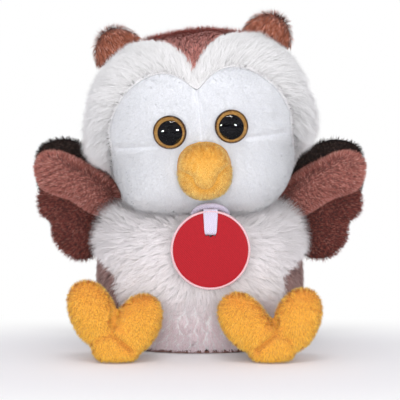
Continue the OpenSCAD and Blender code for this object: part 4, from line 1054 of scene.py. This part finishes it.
crown_brown = pile_material("crown_pile", (0.40, 0.12, 0.10), (0.72, 0.30, 0.26), (0.85, 0.55, 0.50), 0.10,
                            patch=160.0, depth=0.12, spread=0.16, sheen=0.08)
crown = panel("crown_skin", head_grid(back_edge, 178.0, 40), "head", brown_knit, around=True, pole_last=True)
soften(crown, 0.4, 91)
roots, normals = roots_on(crown, 5.5, 92)
lift = (roots[:, 2] > head_low + 1.0)
roots, normals = roots[lift], normals[lift]
q = upright(roots)
fore = np.clip((10 - q[:, 1]) / 14, 0, 1) * np.clip(q[:, 2] / 20, 0, 1)
down = np.stack([-q[:, 0] * 0.035 * fore, 0.25 - 1.25 * fore, -0.8 - 0 * fore], -1)
lean = along_surface(down, normals) * 0.9
length = (4.2 + 1.2 * fore) * np.clip((roots[:, 2] - head_low) / 8 + 0.3, 0.3, 1)
pile("crown_pile", crown, roots, normals, length, lean, crown_brown, width=0.17,
     stand=0.55, tuft=2.2, gather=0.5, ruffle=0.3, ruffle_size=5, soft=0.75, seed=93)
thicken(crown)
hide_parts("head_back")

# ------------------------------------------------------------------ ears
# Two half-moon pads of brown brushed plush, sewn on top of the head; their pile is combed down
# and stops short of the seam at their feet.

ear_knit = backing("ear_knit", (0.30, 0.12, 0.09), (0.16, 0.05, 0.035))
ear_brown = pile_material("ear_brown_pile", (0.15, 0.035, 0.018), (0.52, 0.18, 0.11),
                          (0.82, 0.47, 0.38), 0.10, patch=260.0, depth=0.18, spread=0.30, sheen=0.08)
ear_half_w, ear_h, ear_half_t, ear_sunk = 11.2, 13.2, 3.4, 5.0
ear_x, ear_y, ear_z = 35.1, 5, head_c - 1.4
ear_tilt = math.radians(27)
for side, name in ((-1, "left"), (1, "right")):
    t = np.radians(np.linspace(0, 180, 33))
    arch = np.stack([ear_half_w * np.cos(t), ear_h * np.sin(t) - ear_sunk], -1)
    foot = np.stack([np.linspace(-ear_half_w, ear_half_w, 14)[1:-1], np.full(12, -ear_sunk)], -1)
    outline = np.vstack([arch, foot])
    ear = cushion("ear_skin_" + name, outline, -ear_half_t, ear_half_t, "head", ear_knit, 1)
    points = coordinates(ear.data)
    lean_in = ear_tilt * side
    ear_at = np.array([side * ear_x, ear_y, ear_z])
    points = np.stack([points[:, 0] * math.cos(lean_in) + points[:, 2] * math.sin(lean_in), points[:, 1],
                       -points[:, 0] * math.sin(lean_in) + points[:, 2] * math.cos(lean_in)], -1)
    settle(ear.data, tilted(points + ear_at))
    roots, normals = roots_on(ear, 8, 95)
    local = upright(roots) - ear_at
    height = local[:, 2] * math.cos(lean_in) + local[:, 0] * math.sin(lean_in)
    keep = height > -3
    roots, normals = roots[keep], normals[keep]
    inwards = np.array([[-side * 0.45, -0.1, -0.8]])
    lean = along_surface(inwards, normals) * 0.8
    pile("ear_pile_" + name, ear, roots, normals, 3.4, lean, ear_brown, width=0.2,
         stand=0.55, tuft=1.8, gather=0.6, ruffle=0.4, ruffle_size=3.5, seed=96)
    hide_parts("ear_" + name)

# ------------------------------------------------------------------ beak
# The beak is a plump yellow ball sewn flat to the face, with a small lower lip tucked under
# the curved seam of its mouth. Its pile is clipped short, so the seams show.

yellow_knit = backing("yellow_knit", (0.80, 0.42, 0.06), (0.55, 0.24, 0.02))
yellow = pile_material("yellow_pile", (0.97, 0.58, 0.12), (1.0, 0.82, 0.32), (0.75, 0.36, 0.08), 0.06,
                       patch=300.0, depth=0.07, spread=0.09, sheen=0.12)


def front_of_face(x, z):
    """Y of the face in the head's own frame."""
    y = -head_b + 0 * (x + z)
    for _ in range(4):
        blunt = squareness(z / np.sqrt(x * x + y * y + z * z))
        left_over = 1 - np.abs(x / head_a) ** blunt - np.abs(z / head_c) ** blunt
        y = -head_b * np.clip(left_over, 0.01, 1) ** (1 / blunt)
    return y


def make_beak(name, cad, centre, sizes, blunt, seed, groove, edit=None):
    """groove gives how far a point is outside the other form, so that no pile stands in the seam."""
    points, faces = ball(centre, sizes, blunt=blunt, rings=40, sides=72)
    if edit:
        points = edit(points)
    points[:, 1] = np.minimum(points[:, 1], front_of_face(points[:, 0], points[:, 2]) - 0.3)
    mesh = bpy.data.meshes.new(name)
    mesh.from_pydata((tilted(points) * MM).tolist(), [], faces)
    mesh.update()
    mesh.polygons.foreach_set("use_smooth", np.ones(len(mesh.polygons), bool))
    mesh.materials.append(yellow_knit)
    beak = link(name, mesh, "head")
    points = coordinates(mesh)
    settle(mesh, points + directions(mesh) * (waves(points, 8, seed)[:, :1] * 0.15 - 0.5))
    roots, normals = roots_on(beak, 11, seed + 1)
    q = upright(roots)
    outside = groove(q)
    keep = (q[:, 1] < front_of_face(q[:, 0], q[:, 2]) - 0.5) & (outside > -0.02)
    roots, normals = roots[keep], normals[keep]
    length = 0.2 + 0.9 * np.clip(outside[keep] / 0.16, 0, 1)
    lean = along_surface(np.array([[0, 0, -0.4]]), normals)
    pile(name + "_pile", beak, roots, normals, length, lean, yellow, width=0.17,
         stand=0.85, tuft=1.2, gather=0.3, ruffle=0.4, ruffle_size=2.4, soft=0.82, seed=seed + 2, bend=False)
    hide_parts(cad)


beak_y = -head_b + 1
ball_z, ball_sizes, ball_blunt = -19, (11.7, 12.8, 11.2), 2.2
lip_z, lip_sizes, lip_blunt = -20.6, (11.9, 9.6, 12.2), 2.25


def mouth(z):
    """How much the ball is narrowed at this height below its middle, into the curve of the mouth."""
    u = np.clip((1.0 - z) / 4.5, 0, 1)
    return 1 - 0.34 * u * u * (3 - 2 * u)


def cheeks(points):
    """Draws the ball in along its middle seam and narrows it to the mouth."""
    x, z = points[:, 0], points[:, 2] - ball_z
    points[:, 1] += np.exp(-(x / 0.8) ** 2) * np.clip((z - 5) / 4, 0, 1) * 1.0
    points[:, 0] *= mouth(z)
    return points


def off_ball(q):
    """How far points are outside the ball: 0 on it, less inside."""
    up = q[:, 2] - ball_z
    parts = np.stack([q[:, 0] / mouth(up) / ball_sizes[0], (q[:, 1] - beak_y) / ball_sizes[1],
                      up / ball_sizes[2]], -1)
    return (np.abs(parts) ** ball_blunt).sum(1) - 1


def off_lip(q):
    """How far points are outside the lip: 0 on it, less inside."""
    parts = np.stack([q[:, 0] / lip_sizes[0], (q[:, 1] - beak_y) / lip_sizes[1],
                      (q[:, 2] - lip_z) / lip_sizes[2]], -1)
    return (np.abs(parts) ** lip_blunt).sum(1) - 1


make_beak("beak_ball", "beak_upper", (0, beak_y, ball_z), ball_sizes, ball_blunt, 111, off_lip, cheeks)
make_beak("beak_lip", "beak_lower", (0, beak_y, lip_z), lip_sizes, lip_blunt, 115, off_ball)

# ------------------------------------------------------------------ eyes
# Safety eyes: a printed amber disc with a black pupil under a clear acrylic dome, on a stem
# that passes through the face into a washer.

iris, tree = bare_material("eye_amber")
spot = node(tree, "ShaderNodeUVMap", uv_map="iris")
place = node(tree, "ShaderNodeVectorMath", {0: spot.outputs[0], 1: (0.5, 0.5, 0)}, operation="SUBTRACT")
far = node(tree, "ShaderNodeVectorMath", {0: place.outputs[0]}, operation="LENGTH")
part = node(tree, "ShaderNodeSeparateXYZ", {0: place.outputs[0]})
turn = node(tree, "ShaderNodeMath", {0: part.outputs["Y"], 1: part.outputs["X"]}, operation="ARCTAN2")
ray = node(tree, "ShaderNodeCombineXYZ", {0: turn.outputs[0], 1: far.outputs["Value"]})
spokes = node(tree, "ShaderNodeTexNoise", {"Vector": ray.outputs[0], "Scale": 9.0, "Detail": 4.0})
amber = node(tree, "ShaderNodeValToRGB", {"Fac": spokes.outputs["Fac"]})
amber.color_ramp.elements[0].color = (0.13, 0.062, 0.016, 1)
amber.color_ramp.elements[1].color = (0.36, 0.20, 0.06, 1)
rim = node(tree, "ShaderNodeMapRange", {"Value": far.outputs["Value"], 1: 0.415, 2: 0.455})
banded = node(tree, "ShaderNodeMix", {"Factor": rim.outputs[0]}, data_type="RGBA")
tree.links.new(amber.outputs[0], banded.inputs[6])
banded.inputs[7].default_value = (0.035, 0.015, 0.008, 1)
shifted = node(tree, "ShaderNodeVectorMath", {0: place.outputs[0], 1: (0.022, -0.018, 0)},
               operation="SUBTRACT")
near = node(tree, "ShaderNodeVectorMath", {0: shifted.outputs[0]}, operation="LENGTH")
hole = node(tree, "ShaderNodeMapRange", {"Value": near.outputs["Value"], 1: 0.335, 2: 0.352})
seen = node(tree, "ShaderNodeMix", {"Factor": hole.outputs[0]}, data_type="RGBA")
seen.inputs[6].default_value = (0.003, 0.003, 0.004, 1)
tree.links.new(banded.outputs[2], seen.inputs[7])
shader = node(tree, "ShaderNodeBsdfPrincipled", {"Base Color": seen.outputs[2], "Roughness": 0.35,
              "Specular IOR Level": 0.0})
node(tree, "ShaderNodeOutputMaterial", {"Surface": shader.outputs[0]})

clear, tree = bare_material("eye_clear")
shader = node(tree, "ShaderNodeBsdfPrincipled", {"Base Color": (1, 1, 1, 1), "Roughness": 0.015, "IOR": 1.49,
              "Transmission Weight": 1.0})
open_way = node(tree, "ShaderNodeBsdfTransparent")
shadow = node(tree, "ShaderNodeLightPath")
mixed = node(tree, "ShaderNodeMixShader", {0: shadow.outputs["Is Shadow Ray"], 1: shader.outputs[0],
             2: open_way.outputs[0]})
node(tree, "ShaderNodeOutputMaterial", {"Surface": mixed.outputs[0]})


def turned(name, profile, place, body, material, sides=72, map_radius=None):
    """A turned form: profile is radius and height in mm, place sets its points on the owl."""
    angle = np.linspace(0, 2 * math.pi, sides + 1)[:-1]
    rings = [np.stack([r * np.cos(angle), r * np.sin(angle), np.full(sides, h)], -1) for r, h in profile]
    points = np.vstack(rings)
    index = np.arange(len(profile) * sides).reshape(-1, sides)
    right = np.roll(index, -1, axis=1)
    faces = np.stack([index[:-1], right[:-1], right[1:], index[1:]], -1).reshape(-1, 4).tolist()
    faces += [index[0][::-1].tolist(), index[-1].tolist()]
    mesh = bpy.data.meshes.new(name)
    mesh.from_pydata((place(points) * MM).tolist(), [], faces)
    mesh.update()
    mesh.polygons.foreach_set("use_smooth", np.ones(len(mesh.polygons), bool))
    if map_radius:
        seen_from = mesh.uv_layers.new(name="iris")
        corners = np.empty(len(mesh.loops), np.int32)
        mesh.loops.foreach_get("vertex_index", corners)
        flat = points[corners][:, :2] / map_radius * 0.5 + 0.5
        seen_from.data.foreach_set("uv", flat.astype(np.float32).ravel())
    mesh.materials.append(material)
    return link(name, mesh, body)


stem_r, disc_top = 2.0, 1.6
disc = [(stem_r, -6.0), (stem_r, 0.6), (6.9, 0.6), (eye_r, 0.8), (eye_r, 1.45), (7.1, disc_top)] + [
    (r, disc_top) for r in np.linspace(6.6, 0.2, 14)]
dome_base, dome_h = 1.62, 3.6
dome_r = (eye_r ** 2 + dome_h ** 2) / (2 * dome_h)
dome = [(0.2, dome_base), (7.1, dome_base)] + [
    (dome_r * math.sin(a), dome_base + dome_h - dome_r + dome_r * math.cos(a))
    for a in np.linspace(math.asin(eye_r / dome_r), 0.01, 26)]
eye_turn = math.radians(9)

for side, name in ((-1, "left"), (1, "right")):
    yaw = eye_turn * side

    def eye_place(p, yaw=yaw, side=side):
        """Sets a turned form on the face, its axis turned outwards by yaw."""
        q = np.stack([p[:, 0] * -side, -p[:, 2], p[:, 1]], -1)
        q = np.stack([q[:, 0] * math.cos(yaw) - q[:, 1] * math.sin(yaw),
                      q[:, 0] * math.sin(yaw) + q[:, 1] * math.cos(yaw), q[:, 2]], -1)
        return tilted(q + np.array([side * eye_x, -eye_y, eye_z]))

    amber_disc = turned("eye_iris_" + name, disc, eye_place, "head", iris, map_radius=eye_r)
    clear_dome = turned("eye_dome_" + name, dome, eye_place, "head", clear)
    if side > 0:
        amber_disc.data.flip_normals()
        clear_dome.data.flip_normals()
    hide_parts("eye_disc_" + name)
    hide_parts("eye_lens_" + name)

# ------------------------------------------------------------------ swing tag
# A round card covered in red embroidery, its edge oversewn in pale thread, hangs by a ribbed
# white ribbon that comes out of the neck seam and is folded through a slot in the card.

weave, take, give = shader_group(
    "thread_rows",
    [("Colour", COLOUR, (0.5, 0.02, 0.03, 1)), ("Deep Colour", COLOUR, (0.2, 0.01, 0.01, 1)),
     ("Row Size", NUMBER, 300.0), ("Wander", NUMBER, 1.2)],
    [("Colour", COLOUR), ("Height", NUMBER)])
place = node(weave, "ShaderNodeTexCoord")
rows = node(weave, "ShaderNodeTexWave", {"Vector": place.outputs["Object"], "Scale": take.outputs["Row Size"],
            "Distortion": take.outputs["Wander"], "Detail": 3.0, "Detail Scale": 2.5}, wave_type="BANDS",
            bands_direction="DIAGONAL")
fine = node(weave, "ShaderNodeTexNoise", {"Vector": place.outputs["Object"], "Scale": 2500.0, "Detail": 2.0})
tone = node(weave, "ShaderNodeMath", {0: rows.outputs["Fac"], 1: fine.outputs["Fac"]}, operation="MULTIPLY")
toned = node(weave, "ShaderNodeMix", {"Factor": tone.outputs[0]}, data_type="RGBA")
weave.links.new(take.outputs["Deep Colour"], toned.inputs[6])
weave.links.new(take.outputs["Colour"], toned.inputs[7])
weave.links.new(toned.outputs[2], give.inputs["Colour"])
weave.links.new(rows.outputs["Fac"], give.inputs["Height"])


def threaded(name, colour, deep, rows=300.0, wander=1.2, bump=0.4, sheen=0.3, roughness=0.55):
    """Material of laid or woven thread in fine rows."""
    made, tree = bare_material(name)
    group = node(tree, "ShaderNodeGroup", {
        "Colour": (*colour, 1), "Deep Colour": (*deep, 1), "Row Size": rows, "Wander": wander},
        node_tree=weave)
    relief = node(tree, "ShaderNodeBump", {"Height": group.outputs["Height"], "Strength": bump,
                  "Distance": 0.00015})
    shader = node(tree, "ShaderNodeBsdfPrincipled", {
        "Base Color": group.outputs["Colour"], "Roughness": roughness, "Sheen Weight": sheen,
        "Specular IOR Level": 0.25, "Normal": relief.outputs[0]})
    node(tree, "ShaderNodeOutputMaterial", {"Surface": shader.outputs[0]})
    return made


red_thread = threaded("red_thread", (0.54, 0.006, 0.018), (0.33, 0.003, 0.010), rows=620.0, wander=3.0,
                      bump=0.25, sheen=0.0, roughness=0.7)
pale_thread = threaded("pale_thread", (0.88, 0.66, 0.70), (0.70, 0.42, 0.46), rows=900.0)
satin = threaded("satin_ribbon", (0.80, 0.76, 0.86), (0.52, 0.46, 0.60), rows=700.0, wander=0.6)

low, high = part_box("tag_card")
tag_mid = np.array([(low.x + high.x) / 2, (low.y + high.y) / 2, (low.z + high.z) / 2]) / MM
tag_r = (high.x - low.x) / 2 / MM
tag_half = (high.y - low.y) / 2 / MM
low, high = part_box("tag_ribbon")
ribbon_back, ribbon_front, ribbon_low = high.y / MM, low.y / MM, low.z / MM
slot_z = ribbon_low + 0.75

rings = []
for r in (*np.linspace(1.5, tag_r - 1.0, 22), tag_r - 0.5, tag_r - 0.25):
    turn_by = np.linspace(0, 2 * math.pi, 145)[:-1]
    rings.append(np.stack([tag_mid[0] + r * np.cos(turn_by), np.full(144, tag_mid[1]),
                           tag_mid[2] + r * np.sin(turn_by)], -1))
card = panel("tag_badge", np.array(rings), "tag", red_thread, around=True, pole_first=True)
points = coordinates(card.data)
inside = (np.abs(points[:, 0] - tag_mid[0]) < 2.6) & (np.abs(points[:, 2] - slot_z) < 0.9)
doomed = [p.index for p in card.data.polygons if all(inside[v] for v in p.vertices)]
edit = bmesh.new()
edit.from_mesh(card.data)
edit.faces.ensure_lookup_table()
bmesh.ops.delete(edit, geom=[edit.faces[i] for i in doomed], context="FACES")
edit.to_mesh(card.data)
edit.free()
points = coordinates(card.data)
far = np.hypot(points[:, 0] - tag_mid[0], points[:, 2] - tag_mid[2]) / tag_r
settle(card.data, points + np.array([0, -1, 0]) * (tag_half - 0.05) * np.clip((1 - far) * 12, 0, 1)[:, None])
solid = card.modifiers.new("board", "SOLIDIFY")
solid.thickness = (2 * tag_half - 0.1) * MM
solid.offset = 1 if card.data.polygons[0].normal.y > 0 else -1
apply_modifiers(card)
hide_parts("tag_card")
phase = np.linspace(0, 2 * math.pi, 13)[:-1][:, None]
turn_by = np.linspace(0, 2 * math.pi, 433)[:-1][None]
stitch = 0.52 + 0.07 * np.cos(turn_by * 108 + phase)
out = tag_r - 0.45 + stitch * np.cos(phase)
rim_ring = np.stack([tag_mid[0] + out * np.cos(turn_by),
                     tag_mid[1] + 1.7 * stitch * np.sin(phase) + 0 * turn_by,
                     tag_mid[2] + out * np.sin(turn_by)], -1)
rim_ring = np.concatenate([rim_ring, rim_ring[:1]])
oversewn = panel("tag_rim", rim_ring, "tag", pale_thread, around=True)
oversewn.parent = card


def strip(name, path, half_width, ribs, body, material, thick=0.45):
    """Ribbed ribbon along a path of Y and Z in mm, with its half width at each point of the path."""
    path = np.array(path, float)
    tangent = unit(np.gradient(path, axis=0))
    normal = np.stack([-tangent[:, 1], tangent[:, 0]], -1)
    across = np.linspace(-1, 1, ribs * 8 + 1)
    crown = np.sqrt(np.clip(np.abs(np.cos(across * math.pi * ribs / 2)), 0.05, 1)) * 0.22
    grid = []
    for k in range(len(path)):
        x = tag_mid[0] + across * half_width[k]
        off = path[k][None] + normal[k][None] * crown[:, None]
        grid.append(np.stack([x, off[:, 0], off[:, 1]], -1))
    ob = panel(name, np.array(grid), body, material)
    solid = ob.modifiers.new("thread", "SOLIDIFY")
    solid.thickness = thick * MM
    solid.offset = -1
    apply_modifiers(ob)
    return ob


top_z = tag_mid[2] + tag_r + 0.6
knots = np.array([[ribbon_back, 61.4], [(ribbon_back + ribbon_front) / 2 + 4, 62.6],
                  [ribbon_front + 5, 64.0], [ribbon_front + 1.2, top_z + 0.2],
                  [ribbon_front + 0.35, top_z - 1.4], [ribbon_front + 0.3, top_z - 4],
                  [ribbon_front + 0.25, slot_z + 2.2], [ribbon_front + 0.55, slot_z + 0.5],
                  [tag_mid[1], slot_z - 0.1], [tag_mid[1] + 0.5, slot_z - 0.2]])
line = smooth_rows(np.hstack([knots, knots[:, :1] * 0]), 90)[:, :2]
narrow = 2.85 - 1.3 * np.clip(1 - (len(line) - 1 - np.arange(len(line))) / 42, 0, 1)
ribbon = strip("tag_ribbon_satin", line, narrow, 5, "torso", satin)
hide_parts("tag_ribbon")

# The rest of the ribbon lies in a small gathered loop over the neck seam.
sweep = np.linspace(-0.1, math.pi + 0.1, 60)[:, None]
phase = np.linspace(0, 2 * math.pi, 17)[:-1][None]
bulge = 1.0 + 0.22 * np.cos(sweep * 34) * np.cos(phase * 2)
loop = np.stack([tag_mid[0] + (7.2 + 1.3 * bulge * np.cos(phase)) * np.cos(sweep),
                 -30.5 - 5.5 * np.sin(sweep) + 0.9 * bulge * np.sin(phase),
                 61.0 + (4.6 + 1.3 * bulge * np.cos(phase)) * np.sin(sweep)], -1)
gathered = panel("tag_ribbon_loop", loop, "torso", satin, around=True, pole_first=True, pole_last=True)
gathered.parent = ribbon
